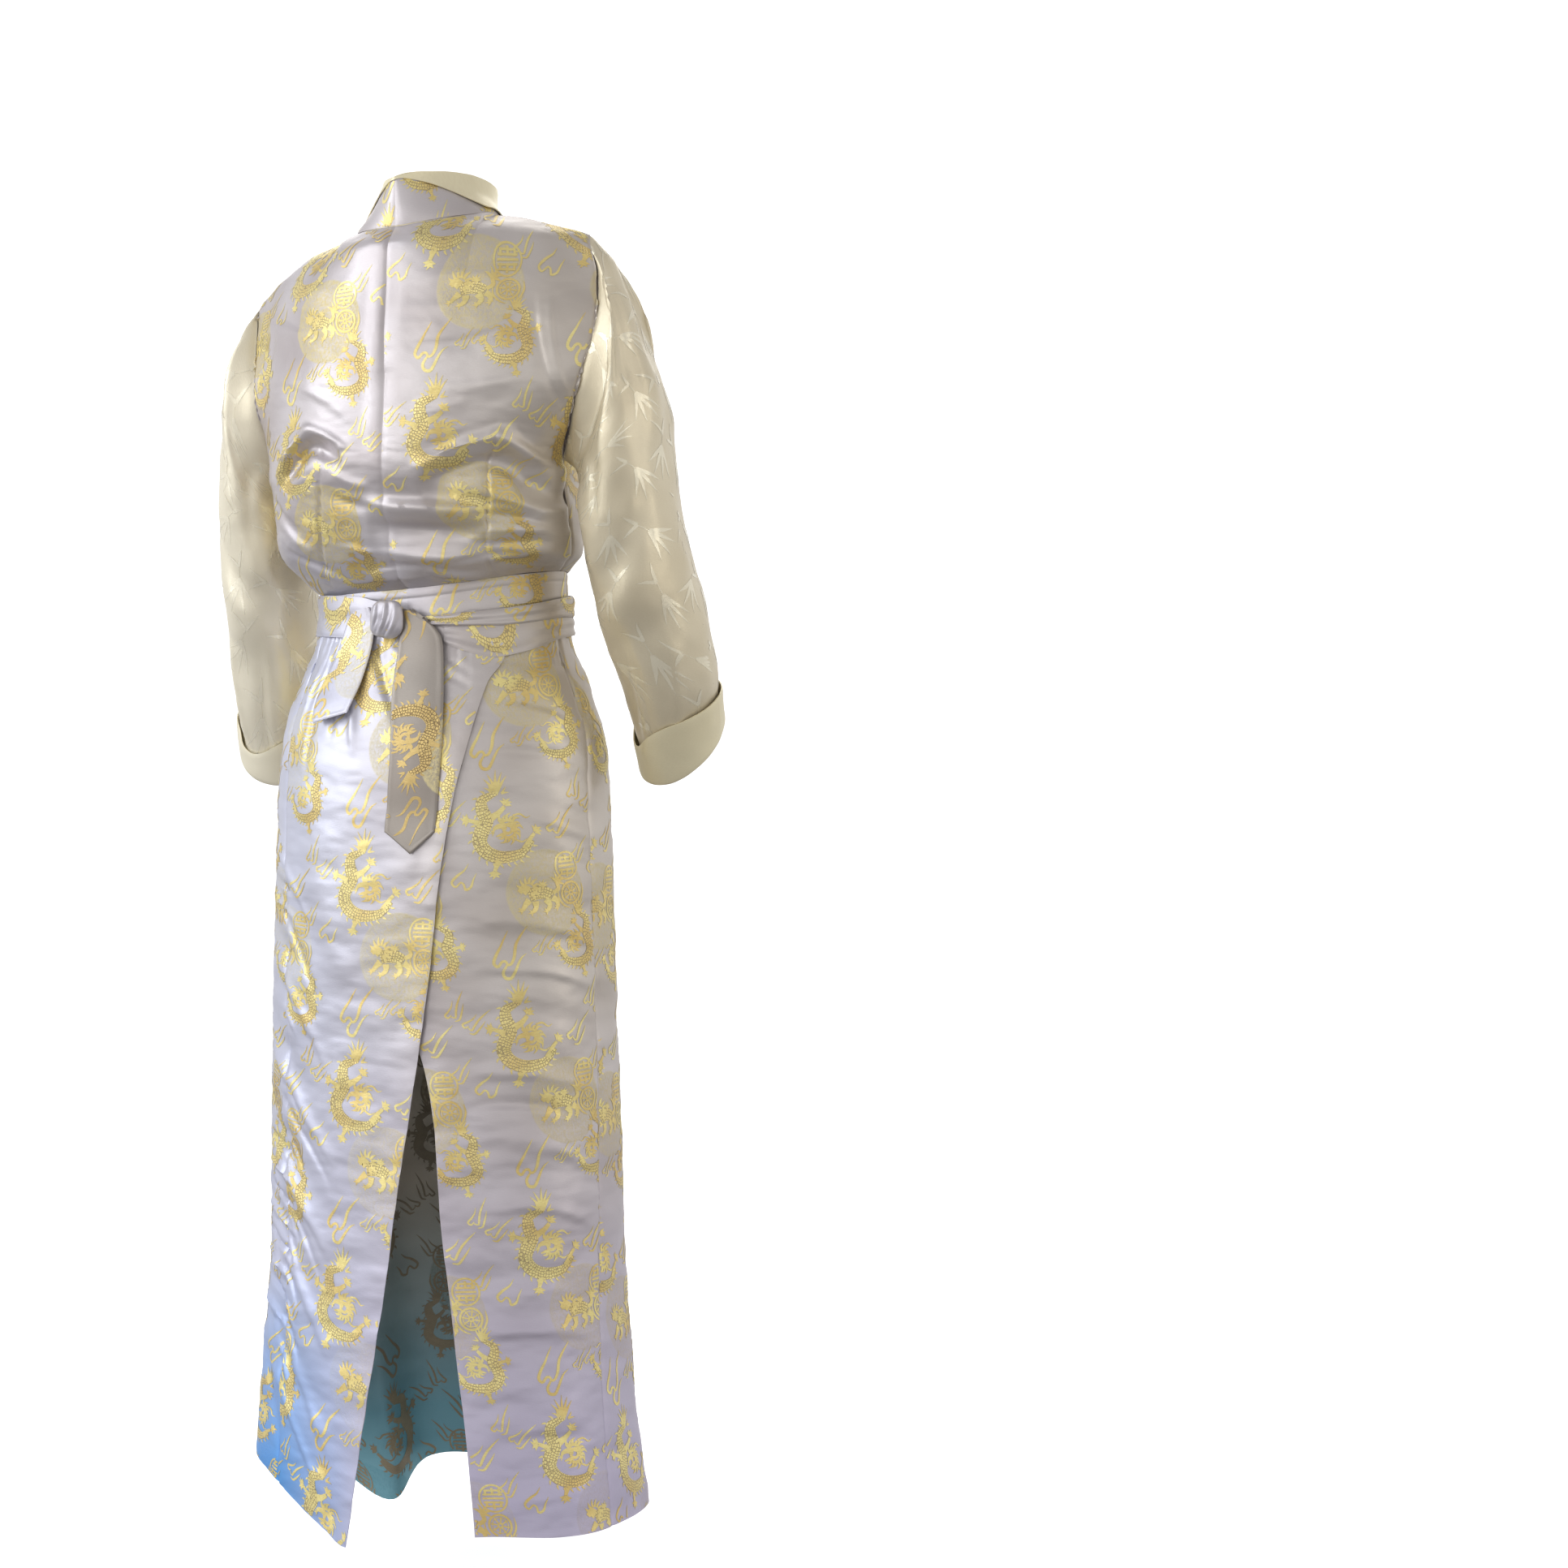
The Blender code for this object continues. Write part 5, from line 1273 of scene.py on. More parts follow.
def neck_point(angle, level):
    """A place on the stand collar or, at level 0, on the neck seam."""
    section = COLLAR.at(level)
    s, c = math.sin(math.radians(angle)), math.cos(math.radians(angle))
    depth = section.back if c > 0 else section.front
    sharp = section.point if c > 0 else 1.0
    seam, top = COLLAR_HEIGHTS.column("seam", angle), COLLAR_HEIGHTS.column("top", angle)
    return Vector(
        (
            -section.half * power(s, sharp),
            section.centre_y + depth * power(c, sharp),
            seam + (top - seam) * level,
        )
    )


def shoulder_point(side, along):
    """A place on the shoulder seam, from the neck at 0 to the tip at 1."""
    sign = 1 if side == "left" else -1
    point = neck_point(-sign * NECK_SIDE, 0).lerp(SHOULDER_TIP[side], along)
    point.z += SHOULDER_CROWN[side] * 4 * along * (1 - along)
    return point


def armhole_level(share):
    """The height of a place on the armhole, from the shoulder tip at 0 to the underarm at 1."""
    return 1 - (1 - UNDERARM) * ((1 - math.cos(math.pi * share)) / 4 + share / 2)


def bodice_levels():
    """The heights of the bodice's rows, at each of which the armhole meets a column of the sleeve."""
    return [*(armhole_level(k / ARMHOLE_STEPS) for k in range(ARMHOLE_STEPS + 1)), *BELOW_ARMHOLE]


def level_place(table, side, turn, up):
    """A place on a level section of the bodice: turn goes from 0 at the middle to 90 at its own side."""
    row = table.at(up)
    edge_side = side if turn >= 0 else {"left": "right", "right": "left"}[side]
    edge_x, edge_y, edge_z = (getattr(row, f"{edge_side}_{axis}") for axis in "xyz")
    share = abs(math.sin(math.radians(turn))) ** ROUNDNESS
    x = row.mid_x + (edge_x - row.mid_x) * share
    y = edge_y + (row.mid_y - edge_y) * max(math.cos(math.radians(turn)), 0) ** row.soft
    return Vector((x, y, row.mid_z + (edge_z - row.mid_z) * share**1.5))


def level_point(table, side, turn, up):
    """The same place once the cloth has settled on the waistband, with the folds of the back."""
    plain = level_place(table, side, turn, up)
    place = plain.copy()
    if up < SETTLE:
        sign = 1 if side == "left" else -1
        angle = -sign * turn if table is BACK else 180 + sign * turn
        band = skirt_point(angle, WAISTBAND_TOP.column("z", turned(angle)))
        place += (band - level_place(table, side, turn, 0)) * (1 - up / SETTLE) ** 2
    if table is BACK:
        place.y += folds_at(BODICE_FOLDS, plain.x, plain.z) * min(up / 0.08, 1) * step(90, 70, turn)
    return place


def crowned_point(table, side, turn, up, top):
    """A place on the bodice, which rounds over from its highest section to a point of its top edge."""
    highest = table.keys[-1]
    if up <= highest:
        return level_point(table, side, turn, up)
    below, at_highest = (level_point(table, side, turn, key) for key in table.keys[-2:])
    outwards = Vector((0, 1 if table is BACK else -1, 1)).normalized()
    halfway = at_highest.lerp(top, 0.5) + outwards * ((top - at_highest).length * SHOULDER_ROUNDING)
    keys = [table.keys[-2], highest, (highest + 1) / 2, 1]
    return smooth(keys, [below, at_highest, halfway, top], up)


def back_point(side, u, up):
    """A place on a back: u goes from the centre back seam at 0 to the side at 1."""
    sign = 1 if side == "left" else -1
    if u <= NECK_SHARE:
        top = neck_point(-sign * NECK_SIDE * u / NECK_SHARE, 0)
    else:
        top = shoulder_point(side, (u - NECK_SHARE) / (1 - NECK_SHARE))
    return crowned_point(BACK, side, 90 * u, up, top)


def front_free_edge(side, up):
    """The free edge of a front above the crossing: up to the collar's end and then along the neck seam."""
    sign = 1 if side == "left" else -1
    end = bodice_levels()[NECK_STEPS]
    if up < end:
        place = FRONT_EDGE.at((up - UNDERARM) / (end - UNDERARM))
        return Vector((sign * place.x, place.y, place.z))
    return neck_point(-sign * (COLLAR_END + (NECK_SIDE - COLLAR_END) * (up - end) / (1 - end)), 0)


def front_point(side, u, up):
    """A place on a front: u goes from its free edge at 0 to the side at 1. The left one lies on top."""
    first = FRONT_START.column("turn", up)

    def plain(u):
        return crowned_point(FRONT, side, first + (90 - first) * u, up, shoulder_point(side, u))

    place = plain(u)
    if up > UNDERARM:
        place += (front_free_edge(side, up) - plain(0)) * (1 - u) ** 2
    if side == "left":
        covering = step(0.76, 0.60, u) * step(0.74, 0.60, up)
        place += Vector((place.x, place.y + 0.02, 0)).normalized() * (FRONT_LAYER * covering)
    return place


def levels(count):
    """The heights of the bodice's rows, closest where it rounds over the shoulder."""
    coarse = bodice_levels()
    numbers = range(len(coarse))
    return [float(np.interp(share * numbers[-1], numbers, coarse)) for share in shares(count)]


def bodice_piece(node, grid, grain, wisp, rolled, folded=None):
    cloth = Cloth(grid, grain, wisp)
    if folded:
        _, _, top, bottom = cloth.from_edges()
        amount = creases(folded, cloth.points[:, :, 0], cloth.points[:, :, 2])
        cloth.push(amount * np.minimum(bottom / 0.012, 1) * np.minimum(top / 0.02, 1))
    cloth.crumple(height=0.0016, size=0.045, stretch=1.8, seed=5)
    cloth.crumple(height=0.0005, size=0.016, stretch=3.0, seed=9)
    cloth.seam(rolled, depth=0.0011, width=0.0028)
    made = cloth_mesh(f"{node}_cloth", cloth, BROCADE)
    figures = [woven(f"{node}_figures", cloth, GOLD_FIGURES)]
    sewn(node, cloth, made, figures)


for side, back_wisp, front_wisp in (
    ("right", (0.054, -0.124), (0.05, -0.16)),
    ("left", (-0.130, -0.150), (-0.06, -0.14)),
):
    neck = [share * NECK_SHARE for share in shares(20)]
    shoulder = [NECK_SHARE + share * (1 - NECK_SHARE) for share in shares(72)]
    back_shares, front_shares = neck + shoulder[1:], shares(44)
    if side == "left":
        back_shares.reverse()
    else:
        front_shares.reverse()
    back = [[back_point(side, u, up) for u in back_shares] for up in levels(150)]
    front = [[front_point(side, u, up) for u in front_shares] for up in levels(84)]
    middle = 1.0 if side == "left" else 0.0
    bodice_piece(f"bodice_back_{side}", back, middle, back_wisp, ("first", "last", "top"), BACK_CREASES)
    rolled = ("last" if side == "left" else "first", "top")
    bodice_piece(f"bodice_front_{side}", front, 0.5, front_wisp, rolled)


# The stand collar and its facing
# Two halves of brocade joined at the centre back. The plain cream silk that lines them is turned out over
# the top edge and stands a little off the wearer's right side.
TURNED_FACING = Table(
    "angle width",
    (0, 0.002),
    (12, 0.003),
    (35, 0.013),
    (60, 0.027),
    (88, 0.038),
    (140, 0.055),
)
FACING_GAP = 0.0004
FACING_LIFT = 0.0015
CREAM = (0.93, 0.86, 0.61, 1)
CREAM_SHADE = (0.80, 0.72, 0.49, 1)
PAINTED_LIGHT_CREAM = (0.98, 0.93, 0.77, 1)


def plain_silk(name, light, shade, roughness):
    """Cream silk: fine threads across, a tone that drifts a little, and painted light that makes it paler on
    the left sleeve and cuff.
    """
    finish = Finish(name, Metallic=0.36, Specular_IOR_Level=0.5, Sheen_Weight=0.1, Sheen_Roughness=0.3)
    threads = finish.cloud(finish.on_cloth(across=260, down=1600), scale=1.0, detail=1.0)
    drift = finish.cloud(finish.on_cloth(), scale=14.0, detail=1.5).between(0.35, 0.7)
    color = finish.mix(drift * 0.6, light, shade)
    color = finish.mix(threads.between(0.4, 0.75) * 0.35, color, shade)
    # Painted light: the wearer's left sleeve and cuff are made paler in the colour itself
    left, _, _ = finish.on_dress()
    color = finish.mix(left.between(0.15, 0.25) * 0.75, color, PAINTED_LIGHT_CREAM)
    relief = finish.bump(threads, strength=0.35, distance=0.0004)
    wired = {"Base Color": color, "Roughness": roughness + 0.14 * threads, "Normal": relief}
    finish.wire(finish.shader, wired)
    return finish.material


FACING_SILK = plain_silk("facing_silk", CREAM, CREAM_SHADE, 0.36)


def facing_point(angle, level, out, rise=0.0):
    """A place beside the collar, square to its outside."""
    around = neck_point(angle + 1, level) - neck_point(angle - 1, level)
    rising = neck_point(angle, level) - neck_point(angle, level - 0.05)
    return neck_point(angle, level) + around.cross(rising).normalized() * out + Vector((0, 0, rise))


neck_angles = [share * COLLAR_END for share in shares(34)]
inner = -(2 * CLOTH_THICKNESS + FACING_GAP)
outer = CLOTH_THICKNESS + FACING_GAP
for side in ("left", "right"):
    angles = neck_angles if side == "right" else [-angle for angle in reversed(neck_angles)]
    middle = 0.0 if side == "right" else 1.0
    stand = [[neck_point(angle, level) for angle in angles] for level in steps(1, 0, 14)]
    collar = Cloth(stand, middle, (-0.050, 0.135) if side == "right" else (-0.014, 0.138))
    collar.crumple(height=0.0008, size=0.02, seed=2)
    collar.seam(("first" if side == "right" else "last", "bottom"), depth=0.0008, width=0.0025)
    made = cloth_mesh(f"collar_{side}_cloth", collar, BROCADE)
    figures = [woven(f"collar_{side}_figures", collar, GOLD_FIGURES)]
    sewn(f"collar_{side}", collar, made, figures)

    rows = [[facing_point(angle, level, inner) for angle in angles] for level in steps(-0.06, 1, 13)]
    for out, rise in ((0.8 * inner, 0.7), (0.3 * inner, 1.0), (0.3 * outer, 1.0), (0.8 * outer, 0.7)):
        rows.append([facing_point(angle, 1.0, out, outer * rise) for angle in angles])
    for share in steps(0.04, 1, 14):
        row = []
        for angle in angles:
            height = COLLAR_HEIGHTS.column("top", angle) - COLLAR_HEIGHTS.column("seam", angle)
            level = 1 - share * min(TURNED_FACING.column("width", abs(angle)) / height, 0.9)
            row.append(facing_point(angle, level, outer + FACING_LIFT * share * (1 - level)))
        rows.append(row)
    facing = Cloth(rows, middle)
    facing.crumple(height=0.0005, size=0.018, seed=6)
    made = cloth_mesh(f"collar_facing_{side}_cloth", facing, FACING_SILK)
    sewn(f"collar_facing_{side}", facing, made)


# The sleeves and their turned-back cuffs
# Full sleeves of cream satin with a bamboo leaf pattern in its own colour, gathered a little into the
# armholes. The plain silk at the wrist is turned back to the outside, with a notch at the hand side.
SLEEVES = {
    "right": Table(
        "ring out_x out_z in_x in_z y depth drop bow",
        (1, -0.217, -0.020, -0.181, -0.251, 0.004, 0.054, 0.000, 0.040),
        (2, -0.231, -0.058, -0.184, -0.262, 0.001, 0.061, 0.000, 0.034),
        (3, -0.250, -0.108, -0.186, -0.274, -0.001, 0.067, 0.000, 0.023),
        (4, -0.274, -0.170, -0.186, -0.290, -0.005, 0.073, 0.000, 0.014),
        (5, -0.281, -0.240, -0.186, -0.312, -0.012, 0.075, 0.000, 0.006),
        (6, -0.289, -0.310, -0.187, -0.345, -0.025, 0.078, 0.002, 0.000),
        (7, -0.298, -0.375, -0.189, -0.390, -0.045, 0.078, 0.004, 0.000),
        (8, -0.304, -0.430, -0.193, -0.432, -0.065, 0.072, 0.008, 0.000),
        (9, -0.303, -0.475, -0.202, -0.480, -0.088, 0.062, 0.018, 0.000),
        (10, -0.296, -0.510, -0.206, -0.522, -0.112, 0.054, 0.030, 0.000),
        (11, -0.289, -0.540, -0.207, -0.555, -0.136, 0.050, 0.040, 0.000),
    ),
    "left": Table(
        "ring out_x out_z in_x in_z y depth drop bow",
        (1, 0.225, -0.082, 0.192, -0.259, -0.030, 0.054, 0.000, 0.022),
        (2, 0.241, -0.123, 0.193, -0.270, -0.037, 0.058, 0.000, 0.018),
        (3, 0.253, -0.170, 0.192, -0.283, -0.045, 0.063, 0.000, 0.013),
        (4, 0.265, -0.225, 0.188, -0.298, -0.053, 0.068, 0.000, 0.008),
        (5, 0.274, -0.285, 0.186, -0.322, -0.062, 0.070, 0.000, 0.003),
        (6, 0.282, -0.345, 0.184, -0.360, -0.072, 0.070, 0.002, 0.000),
        (7, 0.286, -0.400, 0.185, -0.405, -0.086, 0.066, 0.004, 0.000),
        (8, 0.291, -0.450, 0.189, -0.455, -0.102, 0.060, 0.008, 0.000),
        (9, 0.294, -0.498, 0.196, -0.508, -0.120, 0.054, 0.018, 0.000),
        (10, 0.297, -0.526, 0.201, -0.543, -0.136, 0.050, 0.028, 0.000),
        (11, 0.299, -0.548, 0.206, -0.572, -0.150, 0.049, 0.036, 0.000),
    ),
}
SLEEVE_FOLDS = {
    "right": (
        dict(start=(-0.05, 0.4), end=(0.06, 5.0), width=0.035, depth=0.0060),
        dict(start=(0.08, 0.6), end=(0.16, 4.4), width=0.028, depth=-0.0050),
        dict(start=(0.16, 5.6), end=(0.34, 6.4), width=0.030, depth=-0.0040),
        dict(start=(0.30, 7.0), end=(0.38, 10.6), width=0.035, depth=-0.0060),
    ),
    "left": (
        dict(start=(-0.04, 0.4), end=(0.05, 4.6), width=0.035, depth=0.0050),
        dict(start=(0.09, 0.6), end=(0.15, 4.0), width=0.028, depth=-0.0040),
        dict(start=(0.14, 5.4), end=(0.30, 6.2), width=0.030, depth=-0.0040),
        dict(start=(0.06, 7.0), end=(0.12, 10.6), width=0.035, depth=-0.0050),
    ),
}
CUFF_PROFILE = (
    dict(out=-0.0012, along=0.0003),
    dict(out=-0.0002, along=0.0034),
    dict(out=0.0026, along=0.0052),
    dict(out=0.0048, along=0.0034),
    dict(out=0.0054, along=-0.0010),
)
CUFF_TAPER = 0.0014
CUFF_RINGS = {"right": 1.35, "left": 1.4}
CUFF_NOTCH = {"right": 0.41, "left": 0.19}
CUFF_NOTCH_WIDTH = 42
CUFF_NOTCH_DEPTH = 0.45
RING_SCALE = 0.05
LEAF_WIDTH = 0.112
LEAF_HEIGHT = 0.150
LEAF_LIFT = 0.00014
SATIN_LIGHT = (0.78, 0.705, 0.53, 1)
SATIN_SHADE = (0.67, 0.59, 0.42, 1)
# The leaves are a pattern in the satin's own tone; their paler colour is partly a painted sheen
LEAF_LIGHT = (0.90, 0.85, 0.68, 1)
LEAF_SHADE = (0.78, 0.71, 0.53, 1)
CREASE_SPREAD = 1.6
PUCKERS = 15
PUCKER_DEPTH = 0.0011
# Smaller creases, the same on both sleeves: the turn and ring of each end, the width, the depth and the bow
SLEEVE_CREASES = (
    (-0.06, 0.3, 0.02, 3.8, 0.014, -0.0030, 0.01),
    (0.02, 0.3, 0.10, 5.2, 0.014, 0.0034, 0.01),
    (0.12, 0.4, 0.20, 3.6, 0.013, -0.0030, 0.01),
    (0.24, 0.8, 0.30, 4.0, 0.014, 0.0026, 0.01),
    (0.40, 1.0, 0.30, 5.6, 0.012, -0.0034, 0.01),
    (0.46, 3.0, 0.34, 6.6, 0.012, 0.0030, 0.01),
    (0.10, 5.2, 0.38, 6.6, 0.012, -0.0036, 0.02),
    (0.12, 6.0, 0.40, 7.4, 0.012, 0.0036, 0.02),
    (0.08, 7.0, 0.30, 7.8, 0.012, -0.0030, 0.02),
    (0.14, 7.6, 0.20, 10.4, 0.013, 0.0030, 0.01),
    (0.30, 7.6, 0.28, 10.6, 0.012, -0.0030, 0.01),
    (-0.10, 5.0, 0.02, 6.4, 0.014, -0.0026, 0.01),
    (-0.30, 1.0, -0.22, 6.0, 0.016, -0.0030, 0.01),
    (-0.36, 4.8, -0.14, 6.4, 0.014, 0.0030, 0.02),
    (-0.24, 6.8, -0.20, 10.4, 0.015, -0.0030, 0.01),
)


def bamboo():
    drawing = Drawing()
    for x, y, heading in ((22, 30, 38), (80, 92, 128), (88, 20, 96), (26, 104, 74)):
        drawing.fan((x, y), heading, 64, 4, 42, 5.0, bend=4)
        a = math.radians(heading + 180)
        drawing.stroke([(x, y), (x + math.cos(a) * 18, y + math.sin(a) * 18)], [1.2, 0.9])
        drawing.fan((x + math.cos(a) * 16, y + math.sin(a) * 16), heading + 150, 70, 2, 27, 4.6, bend=6)
    return drawing


SATIN = plain_silk("cream_satin", SATIN_LIGHT, SATIN_SHADE, 0.30)
LEAF = plain_silk("satin_leaf", LEAF_LIGHT, LEAF_SHADE, 0.17)
LEAVES = Motifs(bamboo(), LEAF_WIDTH, LEAF_HEIGHT, (LEAF, LEAF), lift=LEAF_LIFT)
WIDE_CREASES = {side: scaled(folds, 1, RING_SCALE) for side, folds in SLEEVE_FOLDS.items()}


def armhole_point(side, turn):
    """A place on the armhole, from 0 at the shoulder tip by the back to 0.5 under the arm and the front."""
    up = armhole_level(min(turn, 1 - turn) * 2)
    return back_point(side, 1, up) if turn <= 0.5 else front_point(side, 1, up)


def ring_point(row, turn, out=0.0):
    """A place on a ring of a sleeve's table."""
    around, lean = math.cos(2 * math.pi * turn), math.sin(2 * math.pi * turn)
    middle = Vector(((row.out_x + row.in_x) / 2, row.y, (row.out_z + row.in_z) / 2))
    reach = Vector(((row.out_x - row.in_x) / 2, 0, (row.out_z - row.in_z) / 2))
    deep = Vector((0, row.depth, -row.drop))
    middle.x += math.copysign(row.bow, row.out_x) * lean**2
    return middle + (reach + reach.normalized() * out) * around + (deep + deep.normalized() * out) * lean


def sleeve_point(side, turn, ring, out=0.0):
    """A place on a sleeve: ring 0 is the armhole, 11 the end, and turn goes from outside by the back."""
    table = SLEEVES[side]
    sign = 1 if side == "left" else -1
    turn %= 1
    places = [armhole_point(side, turn), *(ring_point(table.at(key), turn, out) for key in table.keys)]
    point = smooth([0, *table.keys], places, ring)
    around, lean = math.cos(2 * math.pi * turn), math.sin(2 * math.pi * turn)
    bulge = folds_at(WIDE_CREASES[side], (turn + 0.5) % 1 - 0.5, ring * RING_SCALE) * min(ring, 1)
    return point + Vector((sign * around, lean, 0)) * bulge


for side, sign in (("right", -1), ("left", 1)):
    turns = [sign * k / 84 for k in range(84)]
    rings = [11 * share for share in shares(104)]
    sleeve = Cloth([[sleeve_point(side, turn, ring) for turn in turns] for ring in rings], 0.0, ring=True)
    turn = (np.array([*turns, turns[0] + sign])[None, :] % 1 + np.zeros_like(sleeve.across) + 0.5) % 1 - 0.5
    ring = np.array(rings)[:, None] + np.zeros_like(sleeve.across)
    fine = [
        (x0, y0 * RING_SCALE, x1, y1 * RING_SCALE, width * CREASE_SPREAD, depth, bow)
        for x0, y0, x1, y1, width, depth, bow in SLEEVE_CREASES
    ]
    amount = creases(fine, turn, ring * RING_SCALE)
    puckers = PUCKER_DEPTH * np.sin(turn * 2 * np.pi * PUCKERS) * np.exp(-ring / 0.7)
    puckers = puckers * np.exp(-((turn / 0.2) ** 2)) * ring.clip(0, 1)
    sleeve.push((amount + puckers) * ring.clip(0, 1))
    sleeve.crumple(height=0.0022, size=0.05, seed=4)
    sleeve.crumple(height=0.0007, size=0.017, seed=8)
    sleeve.seam(("top",), depth=0.0018, width=0.004)
    made = cloth_mesh(f"sleeve_{side}_cloth", sleeve, SATIN)
    figures = [woven(f"sleeve_{side}_figures", sleeve, LEAVES)]
    sewn(f"sleeve_{side}", sleeve, made, figures)

    last = SLEEVES[side].keys[-1]
    aheads = [(sleeve_point(side, t, last) - sleeve_point(side, t, last - 0.5)).normalized() for t in turns]
    rows = []
    keys = steps(0, 1, 4)
    for share in steps(0, 1, 12):
        out = smooth(keys, [place["out"] for place in CUFF_PROFILE], share)
        along = smooth(keys, [place["along"] for place in CUFF_PROFILE], share)
        rows.append([sleeve_point(side, t, last, out) + ahead * along for t, ahead in zip(turns, aheads)])
    for share in steps(0.05, 1, 12):
        row = []
        for t in turns:
            away = turned(360 * (t % 1 - CUFF_NOTCH[side])) / CUFF_NOTCH_WIDTH
            rise = share * CUFF_RINGS[side] * (1 - CUFF_NOTCH_DEPTH * math.exp(-(away**2)))
            row.append(sleeve_point(side, t, last - rise, CUFF_PROFILE[-1]["out"] - CUFF_TAPER * share))
        rows.append(row)
    cuff = Cloth(rows, 0.0, ring=True)
    _, _, _, from_edge = cuff.from_edges()
    cuff.push(0.0007 * np.exp(-((from_edge / 0.003) ** 2)))
    cuff.crumple(height=0.0007, size=0.02, seed=14)
    made = cloth_mesh(f"cuff_{side}_cloth", cuff, FACING_SILK)
    sewn(f"cuff_{side}", cuff, made)


# The belt
# One long folded strip of the brocade, wound twice round the waist over the skirt's overlap and knotted at
# the back. Its two tails hang from the knot, the longer one cut to a point and coloured darker and browner.
UPPER_BELT = Table(
    "angle top low",
    (-12, -0.392, -0.428),
    (-22, -0.387, -0.431),
    (-48, -0.386, -0.431),
    (-90, -0.387, -0.432),
    (-150, -0.386, -0.430),
    (-200, -0.386, -0.420),
    (-240, -0.386, -0.412),
    (-272, -0.388, -0.4095),
    (-305, -0.396, -0.415),
    (-320, -0.400, -0.417),
    (-353, -0.4075, -0.418),
)
LOWER_BELT = Table(
    "angle top low",
    (-60, -0.420, -0.430),
    (-150, -0.418, -0.4285),
    (-200, -0.414, -0.428),
    (-240, -0.409, -0.430),
    (-275, -0.4075, -0.432),
    (-306, -0.412, -0.446),
    (-324, -0.415, -0.451),
    (-344, -0.4165, -0.437),
)
SHORT_TAIL = (
    dict(left=(-24, -0.403), right=(-15, -0.398), out=0.0085, point=0),
    dict(left=(-27, -0.416), right=(-12.5, -0.413), out=0.0092, point=0),
    dict(left=(-28, -0.434), right=(-11.5, -0.437), out=0.0100, point=0),
    dict(left=(-30, -0.462), right=(-12, -0.460), out=0.0090, point=0),
    dict(left=(-31.4, -0.488), right=(-12.4, -0.480), out=0.0095, point=0),
    dict(left=(-30.5, -0.506), right=(-13.3, -0.498), out=0.0120, point=0),
    dict(left=(-28.0, -0.524), right=(-14.1, -0.512), out=0.0140, point=0),
)
LONG_TAIL = (
    dict(left=(-2, -0.399), right=(3, -0.401), out=0.0100, point=0),
    dict(left=(-1, -0.411), right=(8, -0.411), out=0.0105, point=0),
    dict(left=(-0.5, -0.424), right=(13, -0.422), out=0.0110, point=0),
    dict(left=(-0.7, -0.440), right=(16, -0.438), out=0.0105, point=0),
    dict(left=(-0.4, -0.485), right=(16.8, -0.480), out=0.0095, point=0),
    dict(left=(0.5, -0.548), right=(16.6, -0.540), out=0.0062, point=0),
    dict(left=(0.5, -0.601), right=(16, -0.600), out=0.0058, point=0.003),
    dict(left=(0.1, -0.628), right=(15.4, -0.627), out=0.0060, point=0.012),
    dict(left=(0.1, -0.640), right=(14.8, -0.639), out=0.0063, point=0.024),
)
UPPER_BELT_OUT = 0.0040
LOWER_BELT_OUT = 0.0022
PLEATS = 1.5
PLEAT_DEPTH = 0.0009
TAIL_WALL = 0.0020

for node, table, out, columns, wisp in (
    ("belt_upper", UPPER_BELT, UPPER_BELT_OUT, 170, (0.02, -0.330)),
    ("belt_lower", LOWER_BELT, LOWER_BELT_OUT, 150, (0.09, -0.360)),
):
    grid = []
    for share in shares(9):
        row = []
        for angle in steps(table.keys[0], table.keys[-1], columns):
            top, low = table.column("top", angle), table.column("low", angle)
            lapped = over_layer(turned(angle), -0.43)
            row.append(skirt_point(angle, top + (low - top) * share, out + lapped))
        grid.append(row)
    cloth = Cloth(grid, 0.35, wisp)
    _, _, top, bottom = cloth.from_edges()
    height = top / (top + bottom)
    around = cloth.across
    pleat = np.sin(height * 2 * np.pi * PLEATS + 1.6 * np.sin(around * 9)) * np.sin(np.pi * height)
    cloth.push(PLEAT_DEPTH * pleat - 0.0012 * np.exp(-((np.minimum(top, bottom) / 0.0015) ** 2)))
    cloth.crumple(height=0.0012, size=0.03, stretch=2.5, seed=21)
    made = cloth_mesh(f"{node}_cloth", cloth, BROCADE)
    figures = [woven(f"{node}_figures", cloth, GOLD_FIGURES)]
    sewn(node, cloth, made, figures)

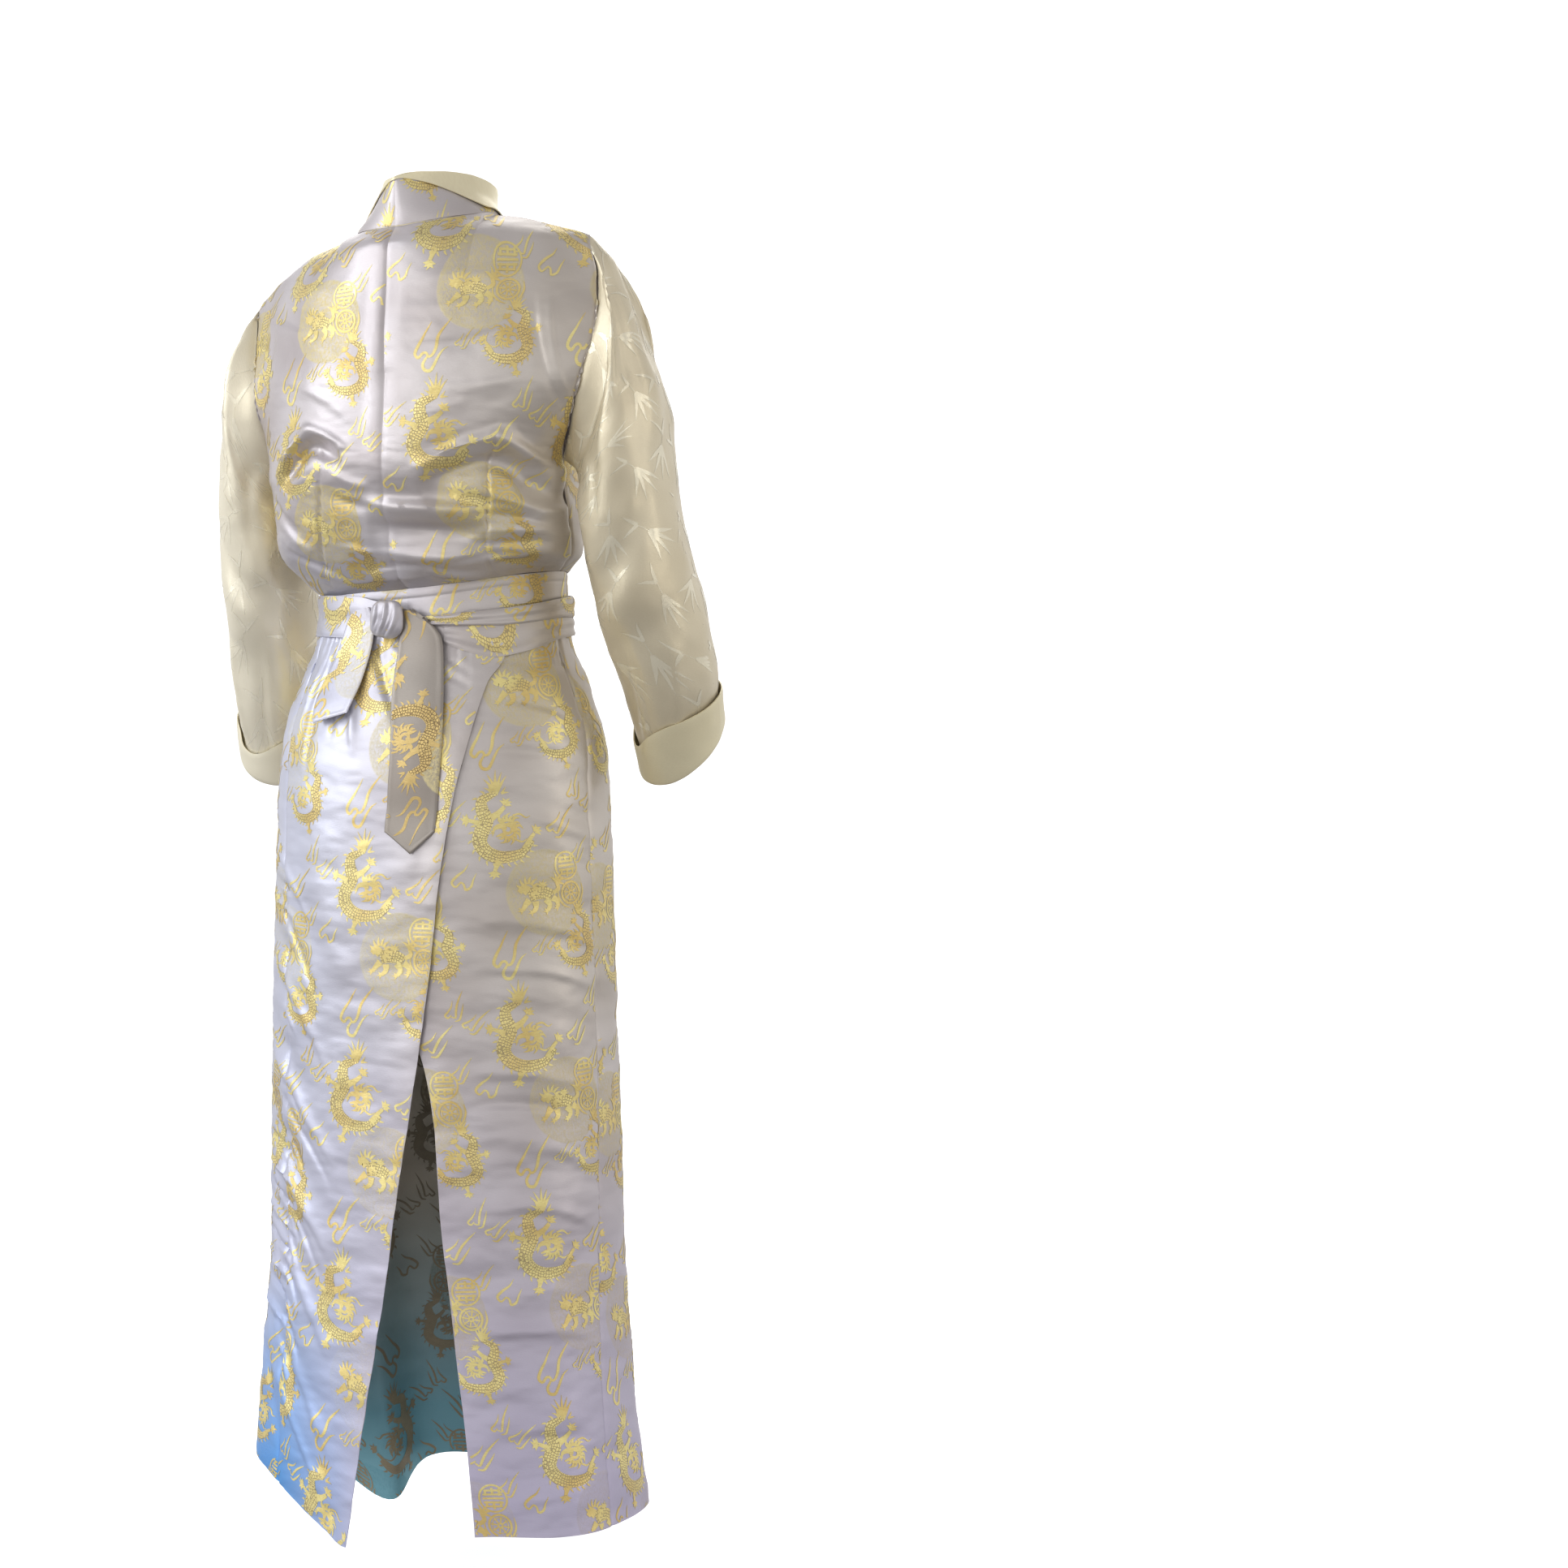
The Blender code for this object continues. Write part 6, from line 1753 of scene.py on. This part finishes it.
for node, table, finish, motifs, wisp in (
    ("belt_tail_short", SHORT_TAIL, BROCADE, TURNED_FIGURES, (-0.018, -0.585)),
    ("belt_tail_long", LONG_TAIL, BROCADE_DARK_TAIL, BROWN_FIGURES, (0.0, -0.626)),
):
    keys = steps(0, 1, len(table) - 1)
    grid = []
    for v in shares(64):
        left, right = (smooth(keys, [Vector(row[side]) for row in table], v) for side in ("left", "right"))
        out, point = (smooth(keys, [row[size] for row in table], v) for size in ("out", "point"))
        row = []
        for u in shares(16):
            angle, z = left.lerp(right, u)
            row.append(skirt_point(angle, z - point * (1 - abs(2 * u - 1)), out))
        grid.append(row)
    cloth = Cloth(grid, 0.5, wisp)
    first, last, _, bottom = cloth.from_edges()
    edge = np.minimum(np.minimum(first, last), bottom)
    ridge, rim = np.exp(-(((edge - 0.0022) / 0.0015) ** 2)), np.exp(-((edge / 0.001) ** 2))
    cloth.push(0.0006 * ridge - 0.0005 * rim)
    cloth.crumple(height=0.0016, size=0.04, seed=31)
    made = cloth_mesh(f"{node}_cloth", cloth, finish, wall=TAIL_WALL)
    figures = [woven(f"{node}_figures", cloth, motifs)]
    sewn(node, cloth, made, figures)


# The belt's knot
# The strip passes over and under itself in gathered folds that run down the knot. It is one closed lump of
# the brocade that lies on the belt and over the roots of both tails.
KNOT = dict(angle=-5, z=-0.411, out=0.0170, half_across=0.019, half_out=0.0100, half_up=0.020)
KNOT_SQUARENESS = 2.8
KNOT_WALL = 0.0010

middle = skirt_point(KNOT["angle"], KNOT["z"], KNOT["out"])
size = Vector((KNOT["half_across"], KNOT["half_out"], KNOT["half_up"]))
grid = []
for share in steps(0, 1, 26):
    row = []
    for turn in steps(0, 2 * math.pi, 64)[:-1]:
        reach = 0.02 + 0.98 * share
        c, s = math.cos(turn), math.sin(turn)
        square = 1 / (abs(c) ** KNOT_SQUARENESS + abs(s) ** KNOT_SQUARENESS) ** (1 / KNOT_SQUARENESS)
        up = reach * square * c
        aside = -reach * square * s
        bent = aside + 0.22 * up - 0.30 * up**2
        folds = 0.16 * math.cos(9.5 * bent) + 0.07 * math.cos(19 * bent + 2 * up)
        height = math.sqrt(max(1 - share**2, 0)) * (0.86 + folds) - 0.1
        row.append(middle + Vector((aside * size.x, height * size.y, up * size.z)))
    grid.append(row)
knot = Cloth(grid, 0.0, (0.03, -0.40), ring=True)
knot.crumple(height=0.0012, size=0.012, seed=41)
made = cloth_mesh("belt_knot_cloth", knot, BROCADE, wall=KNOT_WALL)
figures = [woven("belt_knot_figures", knot, GOLD_FIGURES)]
sewn("belt_knot", knot, made, figures)
